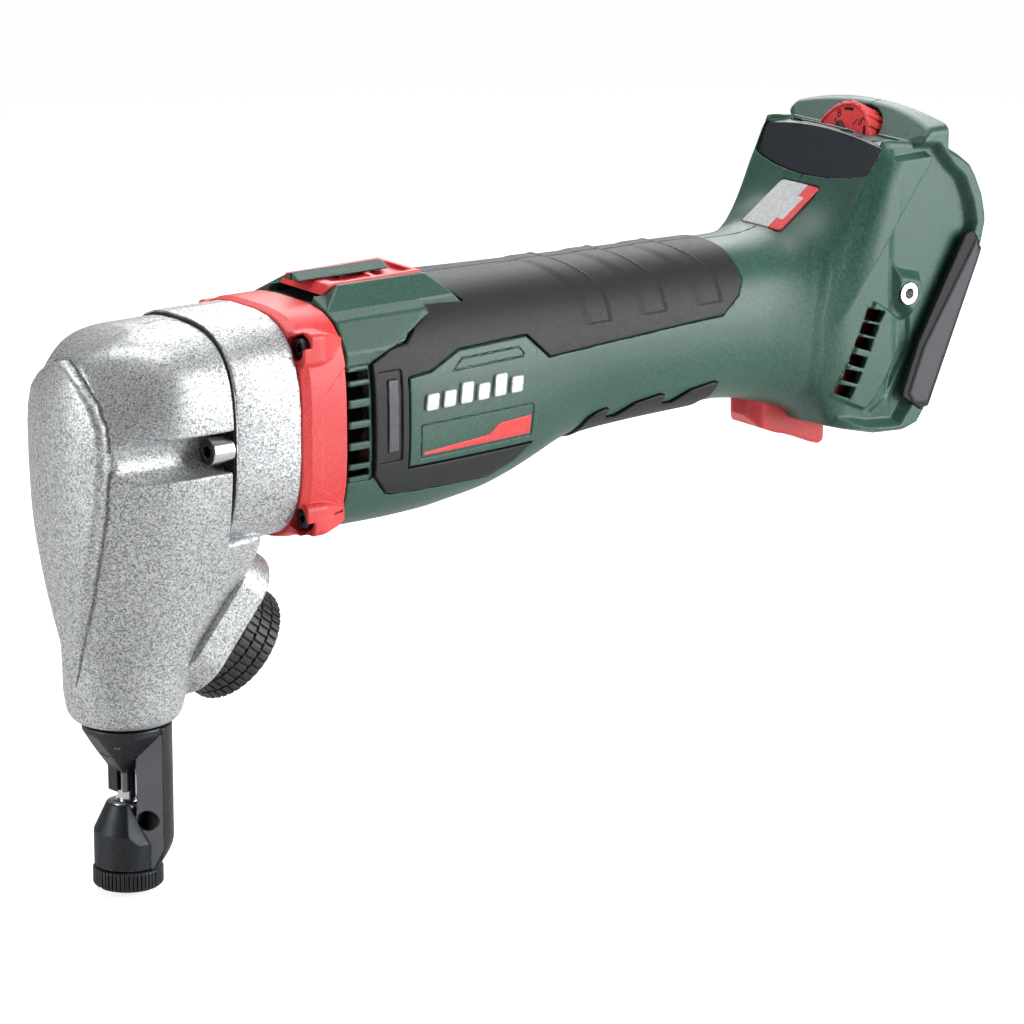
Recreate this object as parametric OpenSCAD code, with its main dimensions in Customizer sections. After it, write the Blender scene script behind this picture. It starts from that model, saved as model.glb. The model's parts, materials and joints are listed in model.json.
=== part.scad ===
// Nibbler with a slim in-line body, motor, gear stage, eccentric and reciprocating punch.
// Working frame inside the modules: X runs from the punch axis back to the battery foot,
// Y is across with left at -Y, Z is up, and Z = 0 is the datum line through the body.
// The placed part is raised so that its origin is the centre of the die's top edge.

/* [Overall] */
// Height of the body datum line above the die's cutting edge
lift = 131; // [131:0.5:133]
// Height of the motor axis relative to the datum line
motor_z = -2.5; // [-3:0.1:-2]
// Width of the motor body
body_w = 69; // [68:0.5:71]
// Wall thickness of the moulded housing
wall = 2.6; // [2.2:0.1:3]

/* [Drive] */
// Gear module
gear_m = 0.8; // [0.8:0.1:0.8]
// Teeth on the motor pinion
pinion_teeth = 9; // [9:1:9]
// Teeth on the driven gear
gear_teeth = 33; // [33:1:33]
// Face width of the driven gear
gear_b = 8; // [6:0.5:9]
// Distance of the crank pin from the eccentric shaft's axis
crank_r = 3; // [2:0.1:3]
// Radius of the roller on the crank pin
roller_r = 7; // [6:0.1:7]
// Radius of the lower ram rod
ram_r = 8; // [7.5:0.1:8]
// Radius of the upper ram rod
ram_top_r = 6; // [5:0.1:6]

/* [Cutting tools] */
// Radius of the punch
punch_r = 3.2; // [2.5:0.1:3.2]
// Radial gap between punch and die
die_gap = 0.08; // [0.06:0.01:0.2]
// Radius of the die holder's sleeve in the nose
sleeve_r = 13; // [12.5:0.1:13]
// Outer radius of the knurled die nut
nut_r = 12; // [11.5:0.1:12.5]

/* [Controls] */
// Radius of the lock knob
knob_r = 21.4; // [20:0.1:22]
// Thickness of the lock knob
knob_t = 15; // [12:0.5:15]
// Radius of the speed dial
dial_r = 15.4; // [14:0.1:15.6]

/* [Battery foot] */
// Width of the foot
foot_w = 76; // [74:0.5:78]
// Gap between the two slide rails
rail_gap = 46; // [44:0.5:48]
// Radius of the threaded inserts for the belt hook
hook_r = 2; // [1.5:0.1:2.5]

/* [Hidden] */
$fn = 64;
sides = [-1, 1];  // left, right
run = 0.05;       // radial clearance of sliding parts
fit = 0.02;       // radial clearance of seated parts
ecc_z = motor_z - gear_m * (gear_teeth + pinion_teeth) / 2;
foot_y = foot_w / 2;
body_green = [0.26, 0.42, 0.36];

// ---------- solids along the axes ----------
module rod_x(radius, x0, x1, y = 0, z = 0, fn = 64) {
  translate([x0, y, z]) rotate([0, 90, 0]) cylinder(r = radius, h = x1 - x0, $fn = fn);
}
module rod_y(radius, y0, y1, x = 0, z = 0, fn = 64) {
  translate([x, min(y0, y1), z])
    rotate([-90, 0, 0]) cylinder(r = radius, h = abs(y1 - y0), $fn = fn);
}
module rod_z(radius, z0, z1, fn = 64) {
  translate([0, 0, z0]) cylinder(r = radius, h = z1 - z0, $fn = fn);
}
module cone_z(radius0, radius1, z0, z1) {
  translate([0, 0, z0]) cylinder(r1 = radius0, r2 = radius1, h = z1 - z0);
}
module tube_x(outer, inner, x0, x1, y = 0) {
  difference() {
    rod_x(outer, x0, x1, y);
    rod_x(inner, x0 - 1, x1 + 1, y);
  }
}
module tube_z(outer, inner, z0, z1) {
  difference() {
    rod_z(outer, z0, z1);
    rod_z(inner, z0 - 1, z1 + 1);
  }
}
// block between two opposite corners, in any order
module box(a, b) {
  translate([for (i = [0:2]) min(a[i], b[i])]) cube([for (i = [0:2]) abs(b[i] - a[i])]);
}
// plate with an [x, z] outline, between two values of Y in any order
module side_plate(outline, y0, y1) {
  translate([0, max(y0, y1), 0])
    rotate([90, 0, 0]) linear_extrude(height = abs(y1 - y0)) polygon(outline);
}
// disc with ridges round its rim
module knurl(radius, depth, ridges, z0, z1) {
  // fraction of the pitch, depth below the rim
  profile = [[0.05, 0], [0.5, 0], [0.6, depth], [0.95, depth]];
  translate([0, 0, z0]) linear_extrude(height = z1 - z0) polygon([
    for (i = [0:ridges - 1], p = profile) let(a = 360 * (i + p[0]) / ridges)
      (radius - p[1]) * [cos(a), sin(a)]]);
}

// ---------- lofts ----------
function signed_pow(v, exponent) = sign(v) * pow(abs(v), exponent);
// unit superellipse of n points; squareness 2 is a circle
function unit_ring(squareness, n) = [for (i = [0:n - 1]) let(a = 360 * (i + 0.5) / n)
  [signed_pow(cos(a), 2 / squareness), signed_pow(sin(a), 2 / squareness)]];
function ring_x(x, half_w, bottom, top, squareness, n) = [for (u = unit_ring(squareness, n))
  [x, half_w * u[0], (top + bottom) / 2 + (top - bottom) / 2 * u[1]]];
function ring_z(z, x0, x1, half_w, squareness, n) = [for (u = unit_ring(squareness, n))
  [(x0 + x1) / 2 + (x1 - x0) / 2 * u[0], half_w * u[1], z]];
function flat(lists) = [for (inner = lists) for (item = inner) item];

// closed skin over a list of rings of equal length
module skin(rings) {
  n = len(rings[0]);
  last = len(rings) - 1;
  polyhedron(points = flat(rings), faces = concat(
    [[for (i = [0:n - 1]) i]],
    [[for (i = [n - 1:-1:0]) last * n + i]],
    flat([for (r = [0:last - 1], i = [0:n - 1])
      let(a = r * n + i, b = r * n + (i + 1) % n, c = b + n, d = a + n)
      [[a, c, b], [a, d, c]]])));
}

// ---------- frames and shared places ----------
knob_face = [45.2, 0, -82.7];
knob_tilt = 38.6;
dial_face = [311.6, 0, 63.6];
dial_tilt = atan2(1, 2);
badge_centre = [283.6, 0, 43.1];
badge_slope = atan2(11.1, 16);
head_screw_y = 30.5;
head_screw_z = -3;
flange_screw_y = 27.5;
flange_screw_z = [-31, 24];

module raised() { translate([0, 0, lift]) children(); }
module on_motor() { translate([0, 0, motor_z]) children(); }
module on_ecc() { translate([0, 0, ecc_z]) children(); }
// local +Z is outwards along the knob's axis, local zero is its outer face
module at_knob() { translate(knob_face) rotate([0, 90 + knob_tilt, 0]) children(); }
// local +Z is out of the dial's face
module at_dial() { translate(dial_face) rotate([0, -90 + dial_tilt, 0]) children(); }
// local +Z is out of the neck's slope
module at_badge() { translate(badge_centre) rotate([0, -badge_slope, 0]) children(); }
module at_head_screws() {
  for (side = sides) translate([0, side * head_screw_y, head_screw_z]) children();
}
module at_flange_screws() {
  for (side = sides, z = flange_screw_z) translate([0, side * flange_screw_y, z]) children();
}
module at_contacts() {
  for (y = [-15, -6, 6, 15]) translate([330, y, -8]) rotate([0, -23, 0]) children();
}

// ---------- head ----------
head_top = 34;
head_screw_seat = 18.4;   // X where the screw heads bear
head_counterbore_r = 5.6;
case_front = 24.4;        // X of the gear housing's front face
bearing_wall = 3.5;       // metal round the bearing seats
ecc_front_r = 14;         // outer radii of the four bearings
ecc_rear_r = 8;
motor_front_r = 11;
motor_rear_r = 9.5;
upper_bush_wall = 3;
lower_bush_wall = 4;
spindle_r = 4;
collar_bottom = -41.6;
collar_top = 36.4;
spigot_inset = 5.35;      // spigot inside the collar outline
// z, front x, back x, half width, squareness
head_stations = [
  [-101.5, -17.5, 17.5, 17.5, 2], [-94, -20.5, 20, 20, 2], [-75, -26, 24.5, 23, 2],
  [-50, -31.5, 30, 28.5, 2.2], [-28, -34.5, 36, 33, 2.4], [-8, -36, 36, 34.5, 2.5],
  [8, -34.5, 36, 33.5, 2.5], [20, -30, 34, 30, 2.4], [28, -23, 32, 24, 2.3],
  [head_top, -12, 28, 14, 2.2]];

module head_loft(inset) {
  skin([for (s = head_stations)
    ring_z(min(s[0], head_top - inset), s[1] + inset, s[2] - inset, s[3] - inset, s[4], 32)]);
}
module head_casting() color("silver") difference() {
  union() {
    difference() {
      head_loft(0);
      box([23.6, -50, -43], [60, 50, 50]);
    }
    // round knob boss and the web above it
    at_knob() rod_z(24.5, -knob_t - 13, -knob_t - 0.3);
    intersection() {
      hull() {
        at_knob() rod_z(20, -knob_t - 16, -knob_t - 9, 32);
        box([0, -17, -75], [8, 17, -43]);
      }
      box([-10, -40, -90], [50, 40, -43]);
    }
  }
  // crank chamber, leaving a post for the upper bush
  difference() {
    head_loft(4.5);
    box([-60, -60, -120], [60, 60, -42]);
    box([-60, -60, 26], [60, 60, 60]);
    rod_z(10.5, 8, 40);
  }
  // upper and lower bush seats with ram clearance, then the nose bore
  rod_z(ram_top_r + upper_bush_wall, 8, 20);
  rod_z(ram_top_r + 0.6, 6, 27);
  rod_z(ram_r + 1.2, -64, -40);
  rod_z(ram_r + lower_bush_wall, -61.8, -44);
  rod_z(sleeve_r + run, -101.6, -62);
  // spindle hole, knob recess and shoe hole
  at_knob() {
    rod_z(spindle_r + run, -37, 5);
    rod_z(knob_r + 0.8, -knob_t - 0.25, 4);
    rod_z(6.2, -38, -knob_t - 4);
  }
  // head screw holes and counterbores, open to the sides
  at_head_screws() {
    rod_x(2.6, 13, 30);
    rod_x(head_counterbore_r, 4, head_screw_seat);
  }
  for (side = sides)
    box([4, side * head_screw_y, head_screw_z - head_counterbore_r],
      [head_screw_seat, side * 60, head_screw_z + head_counterbore_r]);
}
module collar(x0, x1, inset) {
  skin([for (x = [x0, x1])
    ring_x(x, body_w / 2 - inset, collar_bottom + inset, collar_top - inset, 3, 32)]);
}
function gear_room(teeth) = gear_m * (teeth + 2) / 2 + 1.5;
module gear_housing() color("silver") difference() {
  union() {
    difference() {
      collar(case_front, 50, 0);
      collar(32.5, 60, 4);
    }
    on_ecc() tube_x(ecc_front_r + bearing_wall, ecc_front_r + fit, case_front, 34);
    // rear wall and the rim round it
    intersection() {
      box([49.9, -29.5, -36], [56, 29.5, 31]);
      collar(40, 60, spigot_inset);
    }
    difference() {
      collar(45, 56, spigot_inset);
      box([0, -26, -33], [49.9, 26, 28]);
    }
    on_motor() tube_x(motor_front_r + bearing_wall, motor_front_r + fit, 56, 67.4);
    for (side = sides) rod_x(6, case_front, 46, side * 28, head_screw_z);
  }
  on_ecc() {
    rod_x(ecc_front_r + fit, 24, 32.5);
    rod_x(10, 20, 49.8);
    rod_x(ecc_rear_r + fit, 49.5, 55);
    rod_x(3.4, 55, 57);
    rod_x(gear_room(gear_teeth), 34, 49.8);
  }
  on_motor() {
    rod_x(5.2, 20, 70);
    rod_x(motor_front_r + fit, 60, 70);
    rod_x(gear_room(pinion_teeth), 34, 49.8);
  }
  at_head_screws() rod_x(2.5, 24, 42);
  at_flange_screws() {
    rod_x(2.2, 48, 60);
    rod_x(4.6, 50.2, 60);
  }
}
module head_gasket() color("dimgray") difference() {
  collar(23.7, 24.3, 0.6);
  collar(20, 30, 5.5);
  at_head_screws() rod_x(2.6, 20, 30);
}
// socket-head screws, heads towards -X
module head_screws() color("lightgray") at_head_screws() difference() {
  union() {
    rod_x(5, head_screw_seat - 6, head_screw_seat);
    rod_x(2.45, head_screw_seat, head_screw_seat + 20);
  }
  rod_x(2.6, head_screw_seat - 7, head_screw_seat - 3, fn = 6);
}
module flange_ring() color([0.92, 0.36, 0.36]) difference() {
  skin([ring_x(50.1, 34, -41.2, 36, 3, 32), ring_x(54, 35.4, -42.6, 37, 3, 32),
    ring_x(69, 35, -42.2, 36.6, 3, 32)]);
  collar(49, 80, 5.2);
  at_flange_screws() {
    rod_x(4.6, 49, 56);
    rod_x(2.4, 49, 70);
  }
}
module flange_screws() color("dimgray") at_flange_screws() difference() {
  union() {
    rod_x(4, 52.4, 55.9);
    rod_x(1.9, 55.9, 79.5);
  }
  rod_x(1.6, 51, 54.5, fn = 6);
}

// ---------- ram and cutting tools ----------
crank_pin_r = 4;
roller_half = 7;
window_y = roller_r + crank_r + 0.6;      // half width and half height of the ram's window
window_z = roller_r + 2 * crank_r + 0.4;
punch_shank_r = 4;
set_screw_r = 2;
set_screw_z = -99;
die_r = 6;
die_bottom = -144;
nut_bottom = -159.8;

module ram() color("gray") difference() {
  union() {
    rod_z(ram_top_r, ecc_z + window_z + 4, 23);
    rod_z(ram_r, -108, ecc_z - window_z - 4);
    box([-8, -window_y - 5, ecc_z - window_z - 5.5], [8, window_y + 5, ecc_z + window_z + 5.5]);
  }
  box([-9, -window_y, ecc_z - window_z], [9, window_y, ecc_z + window_z]);
  rod_z(punch_shank_r + fit, -109, -92);
  rod_y(set_screw_r + fit, 0, 12, 0, set_screw_z);
}
module ram_upper_bush() color("peru")
  tube_z(ram_top_r + upper_bush_wall - fit, ram_top_r + run, 8.1, 20);
module ram_lower_bush() color("peru")
  tube_z(ram_r + lower_bush_wall - fit, ram_r + run, -58, -44.1);
module ram_wiper() color("black") tube_z(ram_r + 3.9, ram_r + 0.06, -61.6, -58.2);
module punch() color("whitesmoke") difference() {
  union() {
    rod_z(punch_shank_r, -107.5, -92.5);
    rod_z(punch_r, -131.5, -107.5);
  }
  rod_y(2.3, 2.6, 5.6, 0, set_screw_z);
}
module punch_set_screw() color("dimgray") difference() {
  rod_y(set_screw_r - fit, 2.7, 7.7, 0, set_screw_z);
  rod_y(1, 5.2, 8.2, 0, set_screw_z, 6);
}
module die_holder() color([0.2, 0.2, 0.21]) difference() {
  union() {
    // sleeve, collar, taper and punch guide
    rod_z(sleeve_r, -103, -63);
    rod_z(16, -104.4, -101.6);
    cone_z(6.6, 15.6, -117, -104.1);
    intersection() {
      rod_z(6.8, -124.6, -116);
      box([-6.6, -5.4, -125], [6.6, 5.4, -115]);
    }
    // strut behind the punch, rounded at the back
    intersection() {
      box([6.4, -8.5, -143], [19, 8.5, -101.6]);
      rod_z(19, -150, -90);
    }
    // die cup and the wedge behind it
    cone_z(11.6, 8, -139.6, -131.2);
    rod_z(11.6, -152, -139.6);
    side_plate([[9, -143.5], [19, -143.5], [14, -151], [9, -151]], -7, 7);
  }
  // ram bore, punch bores and guide slots
  rod_z(ram_r + 0.4, -112.6, -60);
  rod_z(punch_r + 0.2, -126, -112);
  rod_z(punch_r + 1.4, -127, -112.4);
  box([3.6, -3, -131.2], [8.6, 3, -112]);
  box([-12, -1.2, -126], [0, 1.2, -118]);
  // die seat, nut neck seat and the hole from the left
  rod_z(die_r + fit, die_bottom, -128);
  rod_z(8.04, -153, -143.8);
  rod_y(2.6, -12, -2.5, 7.5, -136);
}
module die() color("silver") difference() {
  rod_z(die_r, die_bottom + 0.1, -131);
  rod_z(punch_r + die_gap, die_bottom, -130);
  cone_z(4.4, punch_r + die_gap, die_bottom, -136);
}
module die_nut() color([0.16, 0.16, 0.17]) difference() {
  union() {
    rod_z(8, -153, die_bottom);
    // knurled rim, chamfered below
    intersection() {
      knurl(nut_r, 0.55, 48, nut_bottom, -152.3);
      union() {
        rod_z(nut_r + 1, -158.7, -152);
        cone_z(nut_r - 0.9, nut_r + 0.5, nut_bottom, nut_bottom + 1.4);
      }
    }
  }
  rod_z(4.6, -161, -143);
}
module lock_knob() color([0.14, 0.14, 0.15]) at_knob() difference() {
  band = (knob_t - 0.6) / 3;
  union() {
    // three knurled bands, each turned a little further
    for (k = [0:2]) rotate([0, 0, k * 4])
      knurl(knob_r, 1, 45, -knob_t + 0.3 + k * band, -knob_t - 0.3 + (k + 1) * band);
    rod_z(knob_r - 1.6, -knob_t, 0);
  }
  rod_z(spindle_r + run, -knob_t - 1, -2.2);
  tube_z(16, 7, -1.6, 1.4);
}
module lock_spindle() color("gray") at_knob() rod_z(spindle_r, -34.1, -2.4);
module lock_shoe() color("peru") at_knob() rod_z(5.9, -36.3, -34.2);

// ---------- gears and eccentric ----------
backlash = 0.1;   // thinning of each tooth flank
gear_x0 = 38;
pinion_x0 = 36;

// straight-flanked spur gear along X
module spur_gear(teeth, phase, x0, width) {
  pitch = gear_m * teeth / 2;
  tip = pitch + gear_m * 0.95;
  root = pitch - gear_m * 1.25;
  half_tooth = 90 / teeth - backlash / pitch * 57.3;
  // angle in half teeth, radius
  flanks = [[-1.75, root], [-1, pitch], [-0.42, tip], [0.42, tip], [1, pitch], [1.75, root]];
  translate([x0, 0, 0]) rotate([0, 90, 0]) linear_extrude(height = width) polygon([
    for (i = [0:teeth - 1], p = flanks)
      let(a = 360 * i / teeth + phase + p[0] * half_tooth) p[1] * [cos(a), sin(a)]]);
}
module drive_gear() color("darkgray") on_ecc() difference() {
  spur_gear(gear_teeth, 180, gear_x0, gear_b);
  rod_x(6, gear_x0 - 1, gear_x0 + gear_b + 1);
}
module eccentric_shaft() color("gray") on_ecc() difference() {
  union() {
    rod_x(5.98, 21.6, 49);
    rod_x(3.98, 49, 55);
    rod_x(11.5, 14.2, 21.6);
    rod_x(crank_pin_r, -roller_half - 0.4, 14.4, crank_r);
  }
  rod_x(1.5, 40, 60);
}
module crank_roller() color("silver")
  on_ecc() tube_x(roller_r, crank_pin_r + fit, -roller_half, roller_half, crank_r);
// bearing as three loose rings: outer race, inner race and one ring for the balls
module bearing_x(bore, outer, x0, x1) {
  race = (outer - bore) * 0.3;
  middle = (bore + outer) / 2;
  ball_half = (outer - bore) * 0.168;
  tube_x(outer, outer - race, x0, x1);
  tube_x(bore + race, bore, x0, x1);
  tube_x(middle + ball_half, middle - ball_half, (x0 + x1) / 2 - 1, (x0 + x1) / 2 + 1);
}
module eccentric_front_bearing() color("silver")
  on_ecc() bearing_x(6.01, ecc_front_r, 24.5, 32.4);
module eccentric_rear_bearing() color("silver")
  on_ecc() bearing_x(4.01, ecc_rear_r, 50, 54.9);

// ---------- motor ----------
stator_x0 = 88;
stator_x1 = 114;
slot_angles = [30:60:330];

module rotor_shaft() color("gray") on_motor() {
  rod_x(3.98, 58, 134);
  rod_x(2.9, 49, 58);
  spur_gear(pinion_teeth, 20, pinion_x0, 14);
}
module rotor_core() color("dimgray") on_motor() tube_x(13.6, 4, stator_x0, stator_x1);
module cooling_fan() color([0.15, 0.15, 0.16]) on_motor() difference() {
  blades = 11;
  union() {
    rod_x(8, 71, 80.4);
    rod_x(27, 78.9, 80.4);
    for (i = [0:blades - 1]) rotate([i * 360 / blades, 0, 0])
      translate([72, 7, -0.6]) rotate([18, 0, 0]) cube([7.2, 18, 1.2]);
  }
  rod_x(4, 70, 90);
}
module motor_front_bearing() color("silver")
  on_motor() bearing_x(4, motor_front_r, 60.1, 67);
module motor_rear_bearing() color("silver")
  on_motor() bearing_x(4, motor_rear_r, 127.1, 133);
module stator_core() color("gray") on_motor() translate([stator_x0, 0, 0])
  rotate([0, 90, 0]) linear_extrude(height = stator_x1 - stator_x0) difference() {
    circle(r = 27);
    circle(r = 14.3);
    for (angle = slot_angles) rotate(angle) polygon([[13, -1.2], [15.2, -1.4], [17, -5.5],
      [22, -8], [22, 8], [17, 5.5], [15.2, 1.4], [13, 1.2]]);
  }
module stator_insulator() color("ivory") on_motor()
  for (x = [stator_x0 - 3, stator_x1 + 0.1]) difference() {
    tube_x(26.4, 15, x, x + 2.9);
    for (angle = slot_angles) rotate([angle, 0, 0]) box([x - 1, 14, -7.6], [x + 4, 21.1, 7.6]);
  }
module stator_windings() color("peru") on_motor()
  for (angle = slot_angles) rotate([angle, 0, 0]) difference() {
    box([82, 15.8, -7.4], [120, 20.7, 7.4]);
    box([84.8, 10, -5.4], [117.2, 30, 5.4]);
  }
module motor_sensor_board() color("seagreen") on_motor() tube_x(24, 8, 121, 122.6);
module motor_bracket() color("dimgray") on_motor() difference() {
  union() {
    tube_x(motor_rear_r + bearing_wall, motor_rear_r + fit, 124, 134);
    for (angle = [90:120:330]) rotate([angle, 0, 0]) box([125, 11, -3.5], [131, 26, 3.5]);
    tube_x(28.2, 25.6, 124, 131);
    tube_x(11, 6, 124, 126.9);
  }
  rod_x(4.4, 120, 140);
}

// ---------- moulded housing ----------
body_front = 69.3;
boss_r = 3.8;
hook_x = 314;
hook_z = 12.4;
// x, z, and y of the screw head's outer face
housing_screw_at = [[84, -33.4, 24], [176, -18.8, 18.5], [228, -16, 17.5],
  [306, -33.5, 24], [272, 22, 25]];
// x, half width, bottom, top, squareness
body_stations = [
  [body_front, 34.5, -41.8, 36, 2.9], [96, 34, -41.6, 36.4, 2.7],
  [124, 32.5, -40.4, 36.4, 2.5], [148, 31, -35, 36, 2.4], [171, 30, -27.6, 35.4, 2.3],
  [195, 29.3, -24.8, 34.8, 2.2], [240, 28.6, -23.6, 34, 2.2], [262, 29.4, -27, 34.9, 2.3],
  [276, 31.5, -31.5, 37.8, 2.6], [292, 35, -38, 48.9, 3],
  [304, foot_y - 1, -40.5, 70, 3.4], [320, foot_y, -41, 75.4, 3.6],
  [354, foot_y, -41, 75.6, 3.6]];
// first x, first z, drop per row, width, height; each row also steps forward
rear_vents = [[296, 4.5, 6.3, 7, 3.4], [285.5, -15.2, 4.6, 6, 2.8]];
// [x, z] outlines
foot_rear_cut = [[352.4, 44], [344.5, 62], [334, 77], [334, 120], [420, 120], [420, -80],
  [302.5, -80], [320.6, -44], [325, -31], [350.6, 31]];
rail_wall = [[318.5, -44], [322.5, -31], [344, 22], [341, 23], [319.4, -30], [315.6, -43]];
switch_block = [[body_front, 30], [body_front, 35.2], [78.8, 41.6], [115.5, 41.6],
  [122.6, 34], [124, 33], [124, 30]];
contact_opening = [[318, -22], [346, 12], [340, 20], [312, -16]];
grip_outline = [[79.8, 19], [95.5, 22.3], [107.8, 32.8], [107.8, 40], [238, 40], [247, 32],
  [249, 22], [235.5, 13.1], [157, 9.3], [147.7, 18.2], [116.8, 17.7], [104, 12.2],
  [94.2, 11.3], [94.2, -20.7], [151.5, -21.2], [144.6, -27], [134.2, -31.1],
  [86.9, -28.9], [80.3, -21.2]];
name_plate_outline = [[94.6, 10.8], [104, 11.6], [117, 17.2], [147, 17.6], [151.4, 13.4],
  [151.4, -20.6], [94.6, -20.2]];

// an inset body runs past both ends, so that it cuts right through
module body_loft(inset) {
  overrun = inset > 0 ? 4 : 0;
  last = len(body_stations) - 1;
  skin([for (i = [0:last])
    let(s = body_stations[i], shift = i == 0 ? -overrun : i == last ? overrun : 0)
    ring_x(s[0] + shift, s[1] - inset, s[2] + inset, s[3] - inset, s[4], 28)]);
}
module housing_shell() difference() {
  union() {
    difference() {
      body_loft(0);
      side_plate(foot_rear_cut, -60, 60);
      body_loft(wall);
    }
    // wall behind the battery rails
    intersection() {
      body_loft(wall - 0.3);
      side_plate(rail_wall, -60, 60);
    }
    // switch block on top
    difference() {
      side_plate(switch_block, -21, 21);
      body_loft(wall);
    }
    // bosses for the flange screws and the housing screws
    intersection() {
      union() {
        at_flange_screws() rod_x(4.2, body_front, 88);
        for (p = housing_screw_at) rod_y(boss_r, -24, 24, p[0], p[1]);
      }
      body_loft(0.8);
    }
  }
  for (p = housing_screw_at) {
    rod_y(1.55, -13, 27, p[0], p[1]);
    rod_y(2.95, p[2] - 2.05, p[2] + 27.95, p[0], p[1]);
  }
  at_flange_screws() rod_x(1.95, 60, 90);
  // slider slot
  box([69, -13.2, 33], [117, 13.2, 43]);
  // front vents, through both sides
  for (z = [-16:7.45:14]) box([70.8, -50, z], [78.4, 50, z + 4.5]);
  for (side = sides, v = rear_vents, k = [0:2])
    let(x = v[0] - k * 2.7, z = v[1] - k * v[2])
      box([x, side * 25, z], [x + v[3], side * 60, z + v[4]]);
  // hook insert seats
  for (side = sides) rod_y(4, side * (foot_y + 1), side * (foot_y - 8.01), hook_x, hook_z);
  // dial opening and the pocket round it
  at_dial() rod_z(dial_r + 0.8, -11, 12);
  box([297, -15, 46], [331, 15, 90]);
  // seats of the badge, the window and the contacts
  at_badge() box([-11.15, -13.15, -1.55], [11.15, 13.15, 7.45]);
  at_dial() box([1.1, -24.1, 1.7], [7.7, -16.9, 7.7]);
  at_contacts() box([-13.1, -0.45, -5.1], [3.1, 0.45, 5.1]);
  // release button and contact openings
  box([264.2, -9.4, -60], [300.6, 9.4, -20]);
  side_plate(contact_opening, -19, 19);
}
// the part of a child on one side, held off the middle plane by gap
module half(side, gap) intersection() {
  children();
  box([0, side * gap, -100], [500, side * 100, 200]);
}
// layer standing proud of the body by rise
module body_layer(rise) difference() {
  body_loft(-rise);
  body_loft(-0.06);
}
module housing_left() color(body_green) half(-1, 0.02) housing_shell();
module housing_right() color(body_green) half(1, 0.02) housing_shell();
module grip_skin() difference() {
  intersection() {
    body_layer(1.3);
    side_plate(grip_outline, -60, 60);
  }
  // clear of the switch block
  box([60, -21.2, 28], [124.2, 21.2, 60]);
}
module grip_left() color([0.16, 0.17, 0.18]) half(-1, 0.1) grip_skin();
module grip_right() color([0.16, 0.17, 0.18]) half(1, 0.1) grip_skin();
module lower_grip_pad() color([0.13, 0.13, 0.14]) difference() {
  notch = housing_screw_at[2];
  intersection() {
    body_layer(1.1);
    box([184, -26, -40], [236, 26, -13]);
  }
  rod_y(boss_r, -60, 60, notch[0], notch[1]);
}
module name_plate(side) intersection() {
  body_layer(1.2);
  side_plate(name_plate_outline, side * 10, side * 60);
}
module name_plate_left() color(body_green) name_plate(-1);
module name_plate_right() color(body_green) name_plate(1);

// ---------- controls ----------
lens_r = 44;
lens_half_w = 9;

module switch_slider() color([0.92, 0.34, 0.34]) difference() {
  union() {
    side_plate([[75.2, 40.4], [82, 42.6], [114.6, 42.8], [115.6, 40.4]], -13, 13);
    box([100, -3, 32.7], [108, 3, 41]);
  }
  // two hollows in the top
  for (x = [88, 105]) rod_y(6.4, -9, 9, x, 47.6);
}
module switch_rod() color("ivory") box([88, -3.4, 30.6], [151.6, 3.4, 32.6]);
module switch_module() color([0.2, 0.2, 0.22]) box([152.4, -8, 14], [176, 8, 30.4]);
module electronics_module() color([0.25, 0.25, 0.27]) {
  box([186, -19, -12], [246, 19, 12]);
  box([192, -15, 12], [240, 15, 17]);
}
module speed_dial() color([0.9, 0.34, 0.34]) at_dial() difference() {
  union() {
    rod_z(dial_r - 1.1, -9.5, 0);
    knurl(dial_r, 0.9, 20, -8.6, -1.2);
  }
  tube_z(dial_r - 2.6, 3.4, -1, 1);
  rod_z(2.55, -10, -2.4);
}
module dial_board() color("seagreen") at_dial() {
  box([-11, -11, -14.4], [11, 11, -12.8]);
  rod_z(5.5, -12.8, -10.6);
  rod_z(2.5, -12.8, -2.6);
}
// lens-shaped panel bounded by two arcs
module dial_cover() color([0.22, 0.22, 0.23]) at_dial() translate([-11, 0, 1.6])
  linear_extrude(height = 2) intersection() {
    translate([lens_half_w - lens_r, 0]) circle(r = lens_r);
    translate([lens_r - lens_half_w, 0]) circle(r = lens_r);
  }
module led_window() color("black") at_dial() box([1.2, -24, 1.8], [7.6, -17, 3.2]);
module badge() color("gainsboro") at_badge() box([-11, -13, -1.5], [11, 13, -0.1]);

// ---------- battery foot ----------
bumper_outline = [[342.6, 30], [346.8, 26], [322, -29], [314.6, -26], [319, -7.5]];
rail_outline = [[323.8, -28.4], [329.5, -28.4], [350, 21], [344.3, 21]];
button_outline = [[265, -24.6], [266, -33], [275, -39.5], [298, -47.6], [300, -46],
  [299.6, -34], [292, -24.6]];

module foot_bumpers() color([0.14, 0.14, 0.15]) for (side = sides)
  side_plate(bumper_outline, side * (foot_y + 0.05), side * (foot_y + 1.6));
module hook_inserts() color("silver") for (side = sides) difference() {
  outer = foot_y + 0.9;
  rod_y(3.98, side * outer, side * (outer - 8.8), hook_x, hook_z);
  rod_y(hook_r, side * (outer + 1), side * (outer - 7.8), hook_x, hook_z);
}
module battery_rails() color([0.2, 0.2, 0.21]) for (side = sides)
  side_plate(rail_outline, side * rail_gap / 2, side * (rail_gap / 2 + 5));
module battery_contacts() color("goldenrod") at_contacts() box([-13, -0.4, -5], [3, 0.4, 5]);
module air_duct() color([0.85, 0.3, 0.3]) difference() {
  box([288, -22, -19.4], [304, 22, 8]);
  box([287, -19.8, -17.2], [305, 19.8, 5.8]);
}
module release_button() color([0.92, 0.36, 0.36]) difference() {
  side_plate(button_outline, -9, 9);
  rod_y(11, -7, 7, 278, -52.6);
}
module release_spring() color("silver") translate([282, 0, 0]) tube_z(4, 3, -24.5, -13);
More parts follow.
